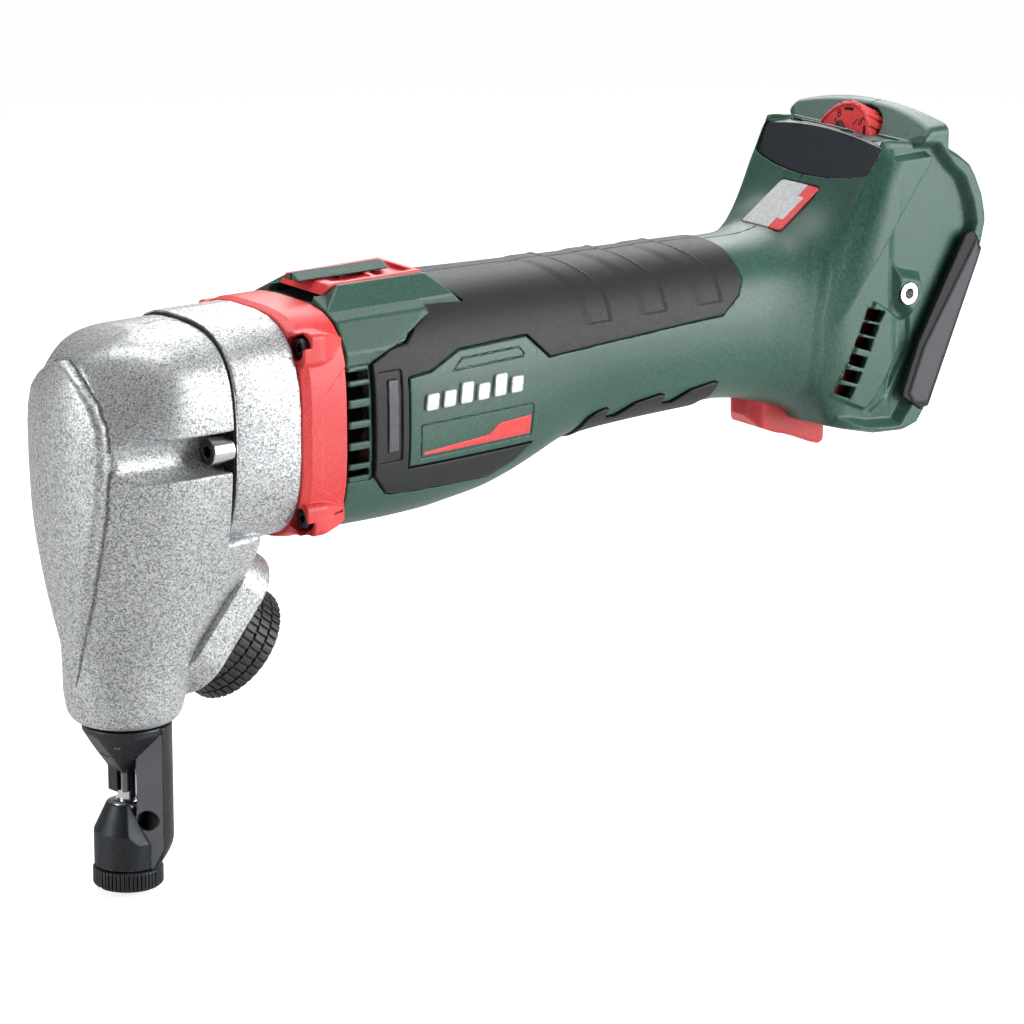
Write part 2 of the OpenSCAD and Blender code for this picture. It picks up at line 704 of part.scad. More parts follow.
module housing_screws() color("dimgray") for (p = housing_screw_at) difference() {
  union() {
    rod_y(1.5, -12, p[2] - 1, p[0], p[1]);
    rod_y(2.8, p[2] - 2, p[2], p[0], p[1]);
  }
  rod_y(1.1, p[2] - 1.1, p[2] + 0.9, p[0], p[1], 6);
}

raised() head_casting();
raised() gear_housing();
raised() head_gasket();
raised() head_screws();
raised() flange_ring();
raised() flange_screws();
raised() ram();
raised() ram_upper_bush();
raised() ram_lower_bush();
raised() ram_wiper();
raised() punch();
raised() punch_set_screw();
raised() eccentric_shaft();
raised() crank_roller();
raised() drive_gear();
raised() eccentric_front_bearing();
raised() eccentric_rear_bearing();
raised() die_holder();
raised() die();
raised() die_nut();
raised() lock_knob();
raised() lock_spindle();
raised() lock_shoe();
raised() rotor_core();
raised() rotor_shaft();
raised() cooling_fan();
raised() motor_front_bearing();
raised() motor_rear_bearing();
raised() stator_core();
raised() stator_windings();
raised() stator_insulator();
raised() motor_sensor_board();
raised() motor_bracket();
raised() housing_left();
raised() housing_right();
raised() grip_left();
raised() grip_right();
raised() lower_grip_pad();
raised() name_plate_left();
raised() name_plate_right();
raised() switch_slider();
raised() switch_rod();
raised() switch_module();
raised() electronics_module();
raised() speed_dial();
raised() dial_board();
raised() dial_cover();
raised() led_window();
raised() badge();
raised() foot_bumpers();
raised() hook_inserts();
raised() battery_rails();
raised() battery_contacts();
raised() air_duct();
raised() release_button();
raised() release_spring();
raised() housing_screws();
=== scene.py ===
# A cordless nibbler: a cast head with punch and die at the front, a slim two-part body with
# soft grips and a slide switch, and a foot for the battery at the rear.
#
# Working frame, in millimetres: the punch axis is x = y = 0, +X runs back to the battery foot,
# Y runs across (left is y < 0), +Z is up, and z = 0 is the body's datum line.
# Every new piece is a signed distance field (negative inside) that is turned into a mesh.
import itertools
import json
import math
import bpy
import numpy as np
from mathutils import Vector, Matrix

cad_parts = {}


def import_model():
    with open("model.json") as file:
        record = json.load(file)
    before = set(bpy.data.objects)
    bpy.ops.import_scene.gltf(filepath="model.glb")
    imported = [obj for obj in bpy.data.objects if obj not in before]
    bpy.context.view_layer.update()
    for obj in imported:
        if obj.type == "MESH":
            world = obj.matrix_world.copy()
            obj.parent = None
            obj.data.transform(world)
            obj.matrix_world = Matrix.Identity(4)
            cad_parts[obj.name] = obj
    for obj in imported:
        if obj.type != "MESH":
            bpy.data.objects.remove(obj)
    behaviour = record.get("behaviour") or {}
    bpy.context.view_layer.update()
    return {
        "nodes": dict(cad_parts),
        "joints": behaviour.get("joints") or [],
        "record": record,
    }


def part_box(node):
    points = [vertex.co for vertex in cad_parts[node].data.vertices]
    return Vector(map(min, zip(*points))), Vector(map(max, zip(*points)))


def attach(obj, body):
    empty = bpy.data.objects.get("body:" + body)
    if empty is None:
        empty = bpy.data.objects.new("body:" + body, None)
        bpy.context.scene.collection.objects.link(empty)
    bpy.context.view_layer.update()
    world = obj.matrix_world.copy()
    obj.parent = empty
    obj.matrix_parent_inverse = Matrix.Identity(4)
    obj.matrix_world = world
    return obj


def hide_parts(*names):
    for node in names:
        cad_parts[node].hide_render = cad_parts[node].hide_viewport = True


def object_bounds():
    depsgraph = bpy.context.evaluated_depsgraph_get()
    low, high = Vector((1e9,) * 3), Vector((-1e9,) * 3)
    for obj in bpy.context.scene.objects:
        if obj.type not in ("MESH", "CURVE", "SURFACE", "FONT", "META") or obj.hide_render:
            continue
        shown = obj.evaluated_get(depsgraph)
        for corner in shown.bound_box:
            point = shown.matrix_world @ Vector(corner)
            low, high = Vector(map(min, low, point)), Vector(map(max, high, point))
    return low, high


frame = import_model()

# The CAD origin is at the die's top edge; the working frame is placed from the die.
DIE_TOP_DROP = 131.0      # from the datum line down to the die's top edge
die_low, die_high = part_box("die")
ORIGIN = np.array([(die_low[0] + die_high[0]) * 500.0,
                   (die_low[1] + die_high[1]) * 500.0,
                   die_high[2] * 1000.0 + DIE_TOP_DROP])


def world(points):
    """working mm -> world metres"""
    return (np.asarray(points, float) + ORIGIN) * 0.001


# ------------------------------------------------------------------ combining distances
def join(one, other, blend):
    """union with a rounded inner corner"""
    share = np.clip(0.5 + 0.5 * (other - one) / blend, 0.0, 1.0)
    return other + (one - other) * share - blend * share * (1.0 - share)


def meet(one, other, blend):
    """intersection with a rounded edge"""
    return -join(-one, -other, blend)


def cut(solid, tool, blend):
    """solid minus tool, with a rounded edge"""
    return -join(-solid, tool, blend)


def engrave(solid, tool, surface, depth, floor_blend, blend):
    """cuts tool into solid, no deeper than depth below surface"""
    return cut(solid, meet(tool, -(surface + depth), floor_blend), blend)


def layer(surface, above, below, blend):
    """skin from above the surface to below it"""
    return meet(surface - above, -(surface + below), blend)


def span(x, low, high):
    return np.maximum(x - high, low - x)


def slab(x, low, high):
    return np.abs(x - (low + high) / 2) - (high - low) / 2


def empty(x):
    return np.full(x.shape, 9.0)


def smooth_step(t):
    t = np.clip(t, 0.0, 1.0)
    return t * t * (3 - 2 * t)


# ------------------------------------------------------------------ basic distances
def radius(x, y):
    return np.sqrt(x * x + y * y)


def cylinder(x, y, z, r, low, high, blend=0.3):
    return meet(radius(x, y) - r, slab(z, low, high), blend)


def rect(x, y, half_x, half_y, r):
    qx = np.abs(x) - (half_x - r)
    qy = np.abs(y) - (half_y - r)
    return (np.sqrt(np.maximum(qx, 0) ** 2 + np.maximum(qy, 0) ** 2)
            + np.minimum(np.maximum(qx, qy), 0) - r)


def box(x, y, z, centre, half, r):
    qx = np.abs(x - centre[0]) - (half[0] - r)
    qy = np.abs(y - centre[1]) - (half[1] - r)
    qz = np.abs(z - centre[2]) - (half[2] - r)
    return (np.sqrt(np.maximum(qx, 0) ** 2 + np.maximum(qy, 0) ** 2 + np.maximum(qz, 0) ** 2)
            + np.minimum(np.maximum(qx, np.maximum(qy, qz)), 0) - r)


def polygon(x, y, points):
    points = np.asarray(points, float)
    nearest = np.full(x.shape, 1e9)
    sign = np.ones(x.shape)
    for (ax, ay), (bx, by) in zip(points, np.roll(points, 1, axis=0)):
        edge_x, edge_y = bx - ax, by - ay
        from_x, from_y = x - ax, y - ay
        t = np.clip((from_x * edge_x + from_y * edge_y)
                    / (edge_x * edge_x + edge_y * edge_y), 0, 1)
        off_x, off_y = from_x - edge_x * t, from_y - edge_y * t
        nearest = np.minimum(nearest, off_x * off_x + off_y * off_y)
        above = y >= ay
        below = y < by
        left = edge_x * from_y > edge_y * from_x
        crossed = (above & below & left) | (~above & ~below & ~left)
        sign = np.where(crossed, -sign, sign)
    return sign * np.sqrt(nearest)


def superellipse(x, y, half_x, half_y, power):
    """roughly the distance to a superellipse"""
    sx = np.abs(x) / half_x + 1e-6
    sy = np.abs(y) / half_y + 1e-6
    total = sx ** power + sy ** power
    norm = total ** (1.0 / power)
    slope_x = norm / total * sx ** (power - 1) / half_x
    slope_y = norm / total * sy ** (power - 1) / half_y
    return (norm - 1.0) / np.sqrt(slope_x * slope_x + slope_y * slope_y + 1e-12)


def toothed(angle, r, count, depth, flank):
    """radius of a rim with count notches"""
    phase = np.abs(((angle * count / math.tau) % 1.0) - 0.5) * 2
    return r - depth * smooth_step((0.42 - phase) / flank)


def curve(stations, values):
    """monotone cubic through the stations, sampled finely"""
    stations = np.asarray(stations, float)
    values = np.asarray(values, float)
    gaps = np.diff(stations)
    slopes = np.diff(values) / gaps
    tangents = np.zeros_like(values)
    for i in range(1, len(stations) - 1):
        if slopes[i - 1] * slopes[i] > 0:
            before = 2 * gaps[i] + gaps[i - 1]
            after = gaps[i] + 2 * gaps[i - 1]
            tangents[i] = (before + after) / (before / slopes[i - 1] + after / slopes[i])
    tangents[0] = slopes[0]
    tangents[-1] = slopes[-1]
    at = np.linspace(stations[0], stations[-1], 1200)
    k = np.clip(np.searchsorted(stations, at) - 1, 0, len(gaps) - 1)
    t = (at - stations[k]) / gaps[k]
    samples = ((1 + 2 * t) * (1 - t) ** 2 * values[k]
               + t * (1 - t) ** 2 * gaps[k] * tangents[k]
               + t * t * (3 - 2 * t) * values[k + 1]
               + t * t * (t - 1) * gaps[k] * tangents[k + 1])
    return lambda x: np.interp(x, at, samples)


def local_frame(origin, out, up):
    """function from x, y, z to the coordinates (up, side, out) of a tilted frame"""
    out = np.array(out, float)
    out /= np.linalg.norm(out)
    up = np.array(up, float)
    up -= out * np.dot(up, out)
    up /= np.linalg.norm(up)
    side = np.cross(out, up)
    origin = np.array(origin, float)

    def convert(x, y, z):
        dx, dy, dz = x - origin[0], y - origin[1], z - origin[2]
        return tuple(dx * axis[0] + dy * axis[1] + dz * axis[2] for axis in (up, side, out))
    return convert


# ------------------------------------------------------------------ meshing a distance field
BLOCK = 8             # samples along a block's side
BLOCKS_AT_ONCE = 700  # limits memory


def sample(field, low, high, step):
    """field values on a grid; blocks far from the surface only get a sign"""
    counts = np.maximum(np.ceil((high - low) / (step * BLOCK)).astype(int), 1)
    axes = [low[i] + (np.arange(counts[i]) + 0.5) * BLOCK * step - 0.5 * step for i in range(3)]
    centres = [c.ravel() for c in np.meshgrid(*axes, indexing="ij")]
    middle = field(*centres)
    values = np.empty((counts.prod(), BLOCK, BLOCK, BLOCK), np.float32)
    values[:] = np.where(middle > 0, 9.0, -9.0)[:, None, None, None]
    # half a block's diagonal, with a margin for fields steeper than a true distance
    active = np.nonzero(np.abs(middle) < 0.5 * BLOCK * step * 1.7321 * 1.7 + 0.5)[0]
    offset = np.arange(BLOCK) * step - (BLOCK * 0.5 - 0.5) * step
    offsets = np.meshgrid(offset, offset, offset, indexing="ij")
    for start in range(0, len(active), BLOCKS_AT_ONCE):
        blocks = active[start:start + BLOCKS_AT_ONCE]
        points = [(c[blocks][:, None, None, None] + o).ravel() for c, o in zip(centres, offsets)]
        values[blocks] = field(*points).reshape(-1, BLOCK, BLOCK, BLOCK)
    values = values.reshape(*counts, BLOCK, BLOCK, BLOCK)
    return values.transpose(0, 3, 1, 4, 2, 5).reshape(counts * BLOCK)


def isosurface(field, low, high, step):
    """surface net: a vertex in each crossed cell, a quad over each crossed grid edge"""
    low = np.array(low, float)
    values = sample(field, low, np.array(high, float), step)
    inside = values < 0
    nx, ny, nz = values.shape
    corners = list(itertools.product((0, 1), repeat=3))
    count = np.zeros((nx - 1, ny - 1, nz - 1), np.uint8)
    for a, b, c in corners:
        count += inside[a:nx - 1 + a, b:ny - 1 + b, c:nz - 1 + c]
    cells = np.argwhere((count > 0) & (count < 8))
    vertex_at = np.full(count.shape, -1, np.int32)
    vertex_at[tuple(cells.T)] = np.arange(len(cells))
    corner = np.empty((len(cells), 2, 2, 2), np.float32)
    for a, b, c in corners:
        corner[:, a, b, c] = values[cells[:, 0] + a, cells[:, 1] + b, cells[:, 2] + c]

    total = np.zeros((len(cells), 3))
    crossings = np.zeros(len(cells))
    for axis in range(3):
        first, second = [k for k in range(3) if k != axis]
        for p, q in itertools.product((0, 1), repeat=2):
            start = [0, 0, 0]
            start[first], start[second] = p, q
            end = list(start)
            end[axis] = 1
            near = corner[:, start[0], start[1], start[2]]
            far = corner[:, end[0], end[1], end[2]]
            crossed = (near < 0) != (far < 0)
            point = np.zeros((len(cells), 3))
            point[:, first] = p
            point[:, second] = q
            point[:, axis] = np.where(crossed, near / np.where(crossed, near - far, 1), 0)
            total += point * crossed[:, None]
            crossings += crossed
    points = (cells + total / crossings[:, None]) * step + low

    quads = []
    for axis in range(3):
        first, second = (axis + 1) % 3, (axis + 2) % 3
        head_slice, tail_slice = [slice(None)] * 3, [slice(None)] * 3
        head_slice[axis] = slice(0, -1)
        tail_slice[axis] = slice(1, None)
        leaving = inside[tuple(head_slice)]
        edges = np.argwhere(leaving != inside[tuple(tail_slice)])
        edges = edges[(edges[:, first] > 0) & (edges[:, second] > 0)
                      & (edges[:, first] < vertex_at.shape[first])
                      & (edges[:, second] < vertex_at.shape[second])]
        outward = leaving[tuple(edges.T)]

        def neighbour(back_first, back_second):
            cell = edges.copy()
            cell[:, first] -= back_first
            cell[:, second] -= back_second
            return vertex_at[tuple(cell.T)]
        quad = np.stack([neighbour(1, 1), neighbour(0, 1), neighbour(0, 0), neighbour(1, 0)], 1)
        quad[~outward] = quad[~outward][:, ::-1]
        quads.append(quad)
    quads = np.concatenate(quads)
    return points, quads[(quads >= 0).all(1)]


def gradient(field, points, reach):
    slope = np.empty_like(points)
    for i in range(3):
        back, ahead = points.copy(), points.copy()
        ahead[:, i] += reach
        back[:, i] -= reach
        slope[:, i] = (field(*ahead.T) - field(*back.T)) / (2 * reach)
    return slope


def settle(field, points, step):
    """moves the vertices onto the surface, and returns its normals too"""
    for _ in range(2):
        dist = field(*points.T)
        slope = gradient(field, points, 0.08)
        move = slope * (dist / np.maximum((slope * slope).sum(1), 1e-3))[:, None]
        length = np.linalg.norm(move, axis=1)
        move *= np.minimum(1.0, 0.5 * step / np.maximum(length, 1e-9))[:, None]
        points = points - move
    slope = gradient(field, points, 0.12)
    return points, slope / np.maximum(np.linalg.norm(slope, axis=1), 1e-9)[:, None]


TOOL = "tool_body"
MATS = {}


def add(name, field, low, high, step, materials, replaced, body=TOOL, pick=None):
    """meshes a field inside a box and puts it in place of a CAD piece;
    pick(x, y, z, normals) gives the material index at the face centres"""
    points, quads = isosurface(field, low, high, step)
    points, normals = settle(field, points, step)
    mesh = bpy.data.meshes.new(name)
    mesh.from_pydata(world(points).tolist(), [], quads.tolist())
    for material in materials:
        mesh.materials.append(MATS[material])
    if pick is not None:
        index = pick(*points[quads].mean(1).T, normals[quads].mean(1))
        mesh.polygons.foreach_set("material_index", np.asarray(index, np.int32))
    mesh.polygons.foreach_set("use_smooth", np.full(len(mesh.polygons), True))
    mesh.update()
    mesh.normals_split_custom_set_from_vertices(normals.tolist())
    piece = bpy.data.objects.new(name, mesh)
    bpy.context.collection.objects.link(piece)
    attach(piece, body)
    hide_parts(replaced)


def add_halves(stem, field, low, high, step, materials, pick):
    """left and right halves of a moulded part, with a hairline gap at y = 0"""
    gap = 0.10
    for side, sign, y_low, y_high in (("left", -1, low[1], 1), ("right", 1, -1, high[1])):
        add(f"{stem}_{side}_visual",
            lambda x, y, z: meet(field(x, y, z), gap - sign * y, 0.25),
            (low[0], y_low, low[2]), (high[0], y_high, high[2]),
            step, materials, f"{stem}_{side}", pick=pick)


# ------------------------------------------------------------------ materials
def srgb(*rgb):
    def linear(c):
        c /= 255.0
        return c / 12.92 if c <= 0.04045 else ((c + 0.055) / 1.055) ** 2.4
    return (*map(linear, rgb), 1.0)


class Shader:
    """a material with one Principled surface, and short calls for the nodes that feed it"""

    def __init__(self, name):
        self.name = name
        self.material = bpy.data.materials.new(name)
        self.material.use_nodes = True
        self.tree = self.material.node_tree
        self.tree.nodes.clear()
        output = self.add("ShaderNodeOutputMaterial")
        self.surface = self.add("ShaderNodeBsdfPrincipled")
        self.tree.links.new(self.surface.outputs[0], output.inputs[0])
        self.coords = self.add("ShaderNodeTexCoord").outputs["Object"]

    def add(self, kind, **settings):
        node = self.tree.nodes.new(kind)
        for key, value in settings.items():
            setattr(node, key, value)
        return node

    def feed(self, socket, value):
        if isinstance(value, (int, float, tuple)):
            socket.default_value = value
        else:
            self.tree.links.new(value, socket)

    def noise(self, scale, detail, rough, stretch=None):
        node = self.add("ShaderNodeTexNoise")
        node.inputs["Scale"].default_value = scale
        node.inputs["Detail"].default_value = detail
        node.inputs["Roughness"].default_value = rough
        source = self.coords
        if stretch:
            mapping = self.add("ShaderNodeMapping")
            mapping.inputs["Scale"].default_value = stretch
            self.feed(mapping.inputs["Vector"], source)
            source = mapping.outputs[0]
        self.feed(node.inputs["Vector"], source)
        return node.outputs["Fac"]

    def specks(self, scale):
        """random values per Voronoi cell"""
        cells = self.add("ShaderNodeTexVoronoi")
        cells.inputs["Scale"].default_value = scale
        self.feed(cells.inputs["Vector"], self.coords)
        split = self.add("ShaderNodeSeparateColor")
        self.feed(split.inputs[0], cells.outputs["Color"])
        return split.outputs

    def ramp(self, factor, stops):
        node = self.add("ShaderNodeValToRGB")
        elements = node.color_ramp.elements
        while len(elements) > 1:
            elements.remove(elements[0])
        elements[0].position, elements[0].color = stops[0]
        for position, colour in stops[1:]:
            elements.new(position).color = colour
        self.feed(node.inputs[0], factor)
        return node.outputs[0]

    def mix(self, one, other, factor):
        node = self.add("ShaderNodeMix", data_type="RGBA")
        for i, value in ((6, one), (7, other), (0, factor)):
            self.feed(node.inputs[i], value)
        return node.outputs[2]

    def math(self, operation, one, other):
        node = self.add("ShaderNodeMath", operation=operation)
        for i, value in enumerate((one, other, 0.0)):
            self.feed(node.inputs[i], value)
        return node.outputs[0]

    def times(self, one, other):
        return self.math("MULTIPLY", one, other)

    def weighted(self, one, one_share, other, other_share):
        return self.math("ADD", self.times(one, one_share), self.times(other, other_share))

    def map_range(self, value, source, target=(0.0, 1.0)):
        node = self.add("ShaderNodeMapRange")
        self.feed(node.inputs[0], value)
        for i, limit in enumerate((*source, *target)):
            node.inputs[i + 1].default_value = limit
        return node.outputs[0]

    def bump(self, height, distance, strength):
        node = self.add("ShaderNodeBump")
        node.inputs["Strength"].default_value = strength
        node.inputs["Distance"].default_value = distance
        self.feed(node.inputs["Height"], height)
        return node.outputs[0]

    def edge(self, source):
        """rises to 1 on convex edges, from the mesh's pointiness"""
        geometry = self.add("ShaderNodeNewGeometry")
        return self.map_range(geometry.outputs["Pointiness"], source)

    def finish(self, **inputs):
        for key, value in inputs.items():
            self.feed(self.surface.inputs[key.replace("_", " ")], value)
        MATS[self.name] = self.material


def cast_metal():
    s = Shader("cast_aluminium")
    fine = s.noise(scale=2600.0, detail=1.0, rough=0.7)
    medium = s.noise(scale=900.0, detail=3.0, rough=0.7)
    big = s.noise(scale=14.0, detail=3.0, rough=0.5)
    speck = s.specks(2100.0)
    grain = s.weighted(speck[0], 0.7, fine, 0.3)
    colour = s.ramp(grain, [(0.10, srgb(104, 107, 110)), (0.30, srgb(164, 167, 169)),
                            (0.55, srgb(204, 206, 207)), (0.85, srgb(236, 237, 238))])
    patches = s.map_range(big, (0.35, 0.75), (0.0, 0.15))
    colour = s.mix(colour, srgb(186, 189, 192), patches)
    rough = s.map_range(grain, (0.1, 0.9), (0.50, 0.34))
    height = s.weighted(medium, 0.35, speck[1], 0.65)
    s.finish(Base_Color=colour, Metallic=0.6, Roughness=rough,
             Normal=s.bump(height, distance=0.00010, strength=0.85))


def plastic(name, dark, mid, light, rough=(0.42, 0.56), grain=1100.0, bump=0.00006, edge_tint=0.25):
    """grained plastic; colours are sRGB, edge_tint lightens the convex edges"""
    dark, mid, light = srgb(*dark), srgb(*mid), srgb(*light)
    s = Shader(name)
    fine = s.noise(scale=grain, detail=2.0, rough=0.75)
    speck = s.specks(grain * 0.75)
    big = s.noise(scale=9.0, detail=4.0, rough=0.55)
    colour = s.ramp(fine, [(0.25, dark), (0.5, mid), (0.8, light)])
    colour = s.mix(colour, mid, 0.35)
    colour = s.mix(colour, light, s.times(s.map_range(big, (0.5, 0.8)), 0.12))
    colour = s.mix(colour, light, s.times(s.edge((0.515, 0.6)), edge_tint))
    roughness = s.map_range(fine, (0.3, 0.7), rough)
    height = s.weighted(fine, 0.6, speck[0], 0.4)
    s.finish(Base_Color=colour, Roughness=roughness,
             Normal=s.bump(height, distance=bump, strength=0.8))


def metal(name, colour, rough, metallic=1.0, brushed=None, bump=0.00002, edge_tint=None):
    """metal with faint mottling; brushed stretches the grain, edge_tint is the colour of the
    convex edges
    """
    base = srgb(*colour)[:3]
    low = tuple(c * 0.78 for c in base) + (1.0,)
    high = tuple(min(1.0, c * 1.18) for c in base) + (1.0,)
    s = Shader(name)
    grain = s.noise(scale=600.0, detail=3.0, rough=0.6, stretch=brushed)
    fine = s.noise(scale=2200.0, detail=1.0, rough=0.6)
    big = s.noise(scale=40.0, detail=3.0, rough=0.6)
    shade = s.mix(low, high, s.map_range(grain, (0.3, 0.7)))
    shade = s.mix(shade, low, s.times(s.map_range(big, (0.4, 0.7)), 0.35))
    if edge_tint is not None:
        shade = s.mix(shade, srgb(*edge_tint), s.times(s.edge((0.52, 0.6)), 0.8))
    roughness = s.map_range(big, (0.3, 0.7), rough)
    height = s.weighted(grain, 0.6, fine, 0.4)
    s.finish(Base_Color=shade, Metallic=metallic, Roughness=roughness,
             Normal=s.bump(height, distance=bump, strength=0.7))


cast_metal()
plastic("green_plastic", (34, 67, 56), (50, 87, 74), (78, 116, 101), rough=(0.34, 0.5),
        bump=0.00008)
plastic("red_plastic", (212, 46, 50), (232, 66, 68), (242, 100, 98), rough=(0.34, 0.46),
        edge_tint=0.2)
plastic("soft_grip", (16, 17, 20), (25, 26, 30), (42, 44, 49), rough=(0.5, 0.66),
        grain=1500.0, bump=0.00007, edge_tint=0.35)
plastic("black_plastic", (18, 19, 21), (28, 29, 31), (50, 52, 56), rough=(0.42, 0.58), edge_tint=0.3)
# black_steel: the flange screws' own colour, and painted shade on the head screws' front faces
# and sockets
metal("black_steel", (70, 73, 76), rough=(0.32, 0.46), metallic=0.85, bump=0.00003,
      edge_tint=(150, 153, 156))
metal("bright_steel", (214, 216, 218), rough=(0.16, 0.3), brushed=(1.0, 1.0, 14.0))
metal("shaft_steel", (150, 152, 155), rough=(0.25, 0.4))
metal("bronze", (176, 128, 72), rough=(0.35, 0.5))
metal("laminations", (105, 107, 112), rough=(0.4, 0.55), brushed=(60.0, 1.0, 1.0))
metal("copper", (190, 104, 62), rough=(0.22, 0.36), brushed=(30.0, 1.0, 1.0))
metal("brass_metal", (205, 170, 98), rough=(0.22, 0.36))
plastic("insulator_plastic", (196, 190, 168), (214, 208, 186), (230, 226, 208))
plastic("circuit_board", (16, 70, 40), (24, 92, 52), (44, 120, 74), rough=(0.28, 0.4))
plastic("seal_rubber", (14, 14, 15), (22, 22, 24), (40, 40, 43), rough=(0.6, 0.75))
metal("badge_silver", (206, 208, 210), rough=(0.34, 0.46), metallic=0.3)
# near-black: the dial's printed marks and the charge window, and painted shade on the housing's
# deep faces
plastic("shadow_gap", (6, 6, 7), (10, 10, 11), (16, 16, 17), rough=(0.8, 0.9))

# the CAD pieces' slots are named after the materials
for subpart in frame["record"]["subparts"]:
    node = frame["nodes"].get(subpart["node"])
    if node is not None:
        for slot in node.material_slots:
            slot.material = MATS[subpart["material_slot"]]


# ------------------------------------------------------------------ the head
SEAM_X = 24           # dark groove between front casting and collar
COLLAR_HALF_Y, COLLAR_HALF_Z, COLLAR_WALL = 35, 38.8, 5
HEAD_SCREW_Y, HEAD_SCREW_Z = 29.9, -3.7

# the lock knob's frame: origin at the centre of its outer face, which looks back and down
KNOB_TILT = math.radians(38.6)
KNOB_OUT = np.array([math.cos(KNOB_TILT), 0.0, -math.sin(KNOB_TILT)])
KNOB_UP = np.array([0.6239, 0, 0.7815])
knob_joint = [j for j in frame["joints"] if j["name"] == "lock_knob_turn"][0]
KNOB_CENTRE = np.array(knob_joint["pos_m"], float) * 1000.0 - ORIGIN
at_knob = local_frame(KNOB_CENTRE, KNOB_OUT, KNOB_UP)

# the column by height: x of its centre and of its front, half width, superellipse power
COLUMN_Z = [-104, -95, -80, -60, -40, -22, 0, 40]
column_centre = curve(COLUMN_Z, [0, 0, 1.5, 7, 16, 22, 24, 24])
column_front = curve(COLUMN_Z, [-17, -20, -21.6, -23.5, -24.8, -25.6, -26, -26])
column_width = curve(COLUMN_Z, [17, 20, 22.2, 25.6, 29.6, 33, 34.4, 34.4])
column_power = curve([-104, -80, -50, -20, 40], [2, 2.05, 2.25, 2.7, 2.8])
# right edge of the raised front pad, (y, z) from the top down
PAD_EDGE = [(0, 27.2), (5.7, 25.6), (12.4, 21.6), (18.7, 15.8), (22.6, 8.4), (23.6, 1.8),
            (23.2, -7.9), (21.2, -22.6), (18.3, -33.8), (13.9, -48.5), (10.8, -58.8), (8, -68),
            (4.5, -80), (0, -91)]
PAD = PAD_EDGE + [(-y, z) for y, z in PAD_EDGE[::-1][1:-1]]
pad_front = curve([-104, -85, -70, -60, -50, -25, 0, 15, 24, 32, 40],
                  [-15, -19.8, -22.2, -23.8, -25.2, -27.4, -27.8, -27, -24.8, -21, -16])
# half width of the front crease by height, and height of the top line by x
crease_width = curve([-91, -80, -68, -58.8, -48.5, -33.8, -22.6, -7.9, 1.8, 8.4, 15.8, 21.6,
                      25.6, 30, 36],
                     [0, 4.5, 8, 10.8, 13.9, 18.3, 21.2, 23.2, 23.6, 22.6, 19, 14.4,
                      10.8, 6.4, 0])
top_line = curve([-32, -25, -20, -16, -10, -5, 5, 24, 50],
                 [20, 25, 28, 30, 32.4, 33.7, 35, 35.3, 35.3])


def collar(x, y, z):
    outline = superellipse(y, z + 2.7, COLLAR_HALF_Y, COLLAR_HALF_Z, 3.2)
    crown = 0.55 * ((x - 37) / 13) ** 2
    return meet(outline + crown, np.abs(x - 37.2) - 12.9, 0.9)


def head_front(x, y, z):
    """a round column low down; above it a body that widens from the front crease back"""
    abs_y = np.abs(y)
    centre = column_centre(z)
    reach = centre - column_front(z)
    power = column_power(z)
    column = superellipse(np.minimum(x - centre, reach), y, reach, column_width(z), power)
    rise = np.clip((z + 3) / 38, 0, 1)
    width = np.where(z > -6, 34.9 * (1 - rise ** 3) ** (1.0 / 3.0), column_width(z))
    crease = np.where(z > -91, crease_width(np.clip(z, -91, 36)), 0)
    crease = np.minimum(crease, width)
    t = np.clip((x + 21.6) / 33, 0, 1)
    flank = (crease - 1.8) + (width - crease + 1.8) * (1 - (1 - t) ** 2.2)
    wedge = meet((abs_y - flank) * 0.8, -(x + 20.6), 1)
    back = superellipse(np.clip(x - centre, 0, reach), y, reach, np.maximum(width, 3), power)
    back = np.where(z > 30, abs_y - width, back)
    wedge = meet(wedge, back, 1.5)
    share = smooth_step((z + 92) / 40)
    shape = column * (1 - share) + wedge * share
    shape = meet(shape, (z - top_line(np.clip(x, -32, 50))) * 0.95, 3.5)
    return meet(shape, -100.7 - z, 4.5)


def front_pad(x, y, z):
    return meet(polygon(y, z, PAD), pad_front(z) + 0.011 * y * y - x, 2.4)


def knob_boss(x, y, z):
    up, side, out = at_knob(x, y, z)
    flange = meet(rect(up - 1.5, side, 27.5, 22.2, 15), slab(out, -27.5, -15.7), 1.2)
    neck = meet(rect(up + 2, side, 23, 19.5, 14), slab(out, -52, -20), 2)
    return np.minimum(flange, neck)


def head_outside(x, y, z):
    front = head_front(x, y, z)
    ahead = meet(front, x - 23.7, 0.8)
    low = meet(meet(front, z + 36, 3), x - 40, 4)
    shape = np.minimum(ahead, low)
    shape = np.minimum(shape, meet(front_pad(x, y, z), x - 5, 1))
    shape = join(shape, collar(x, y, z), 0.8)
    return join(shape, knob_boss(x, y, z), 1.2)


def screw_trough(x, y, z):
    """straight trough for the cap screw; it runs out where the head narrows"""
    abs_y = np.abs(y)
    trough = radius(np.minimum(abs_y - 31.1, 0), z + 4) - 7.1
    return meet(meet(trough, x - 24.1, 0.5), 18 - abs_y, 0.3)


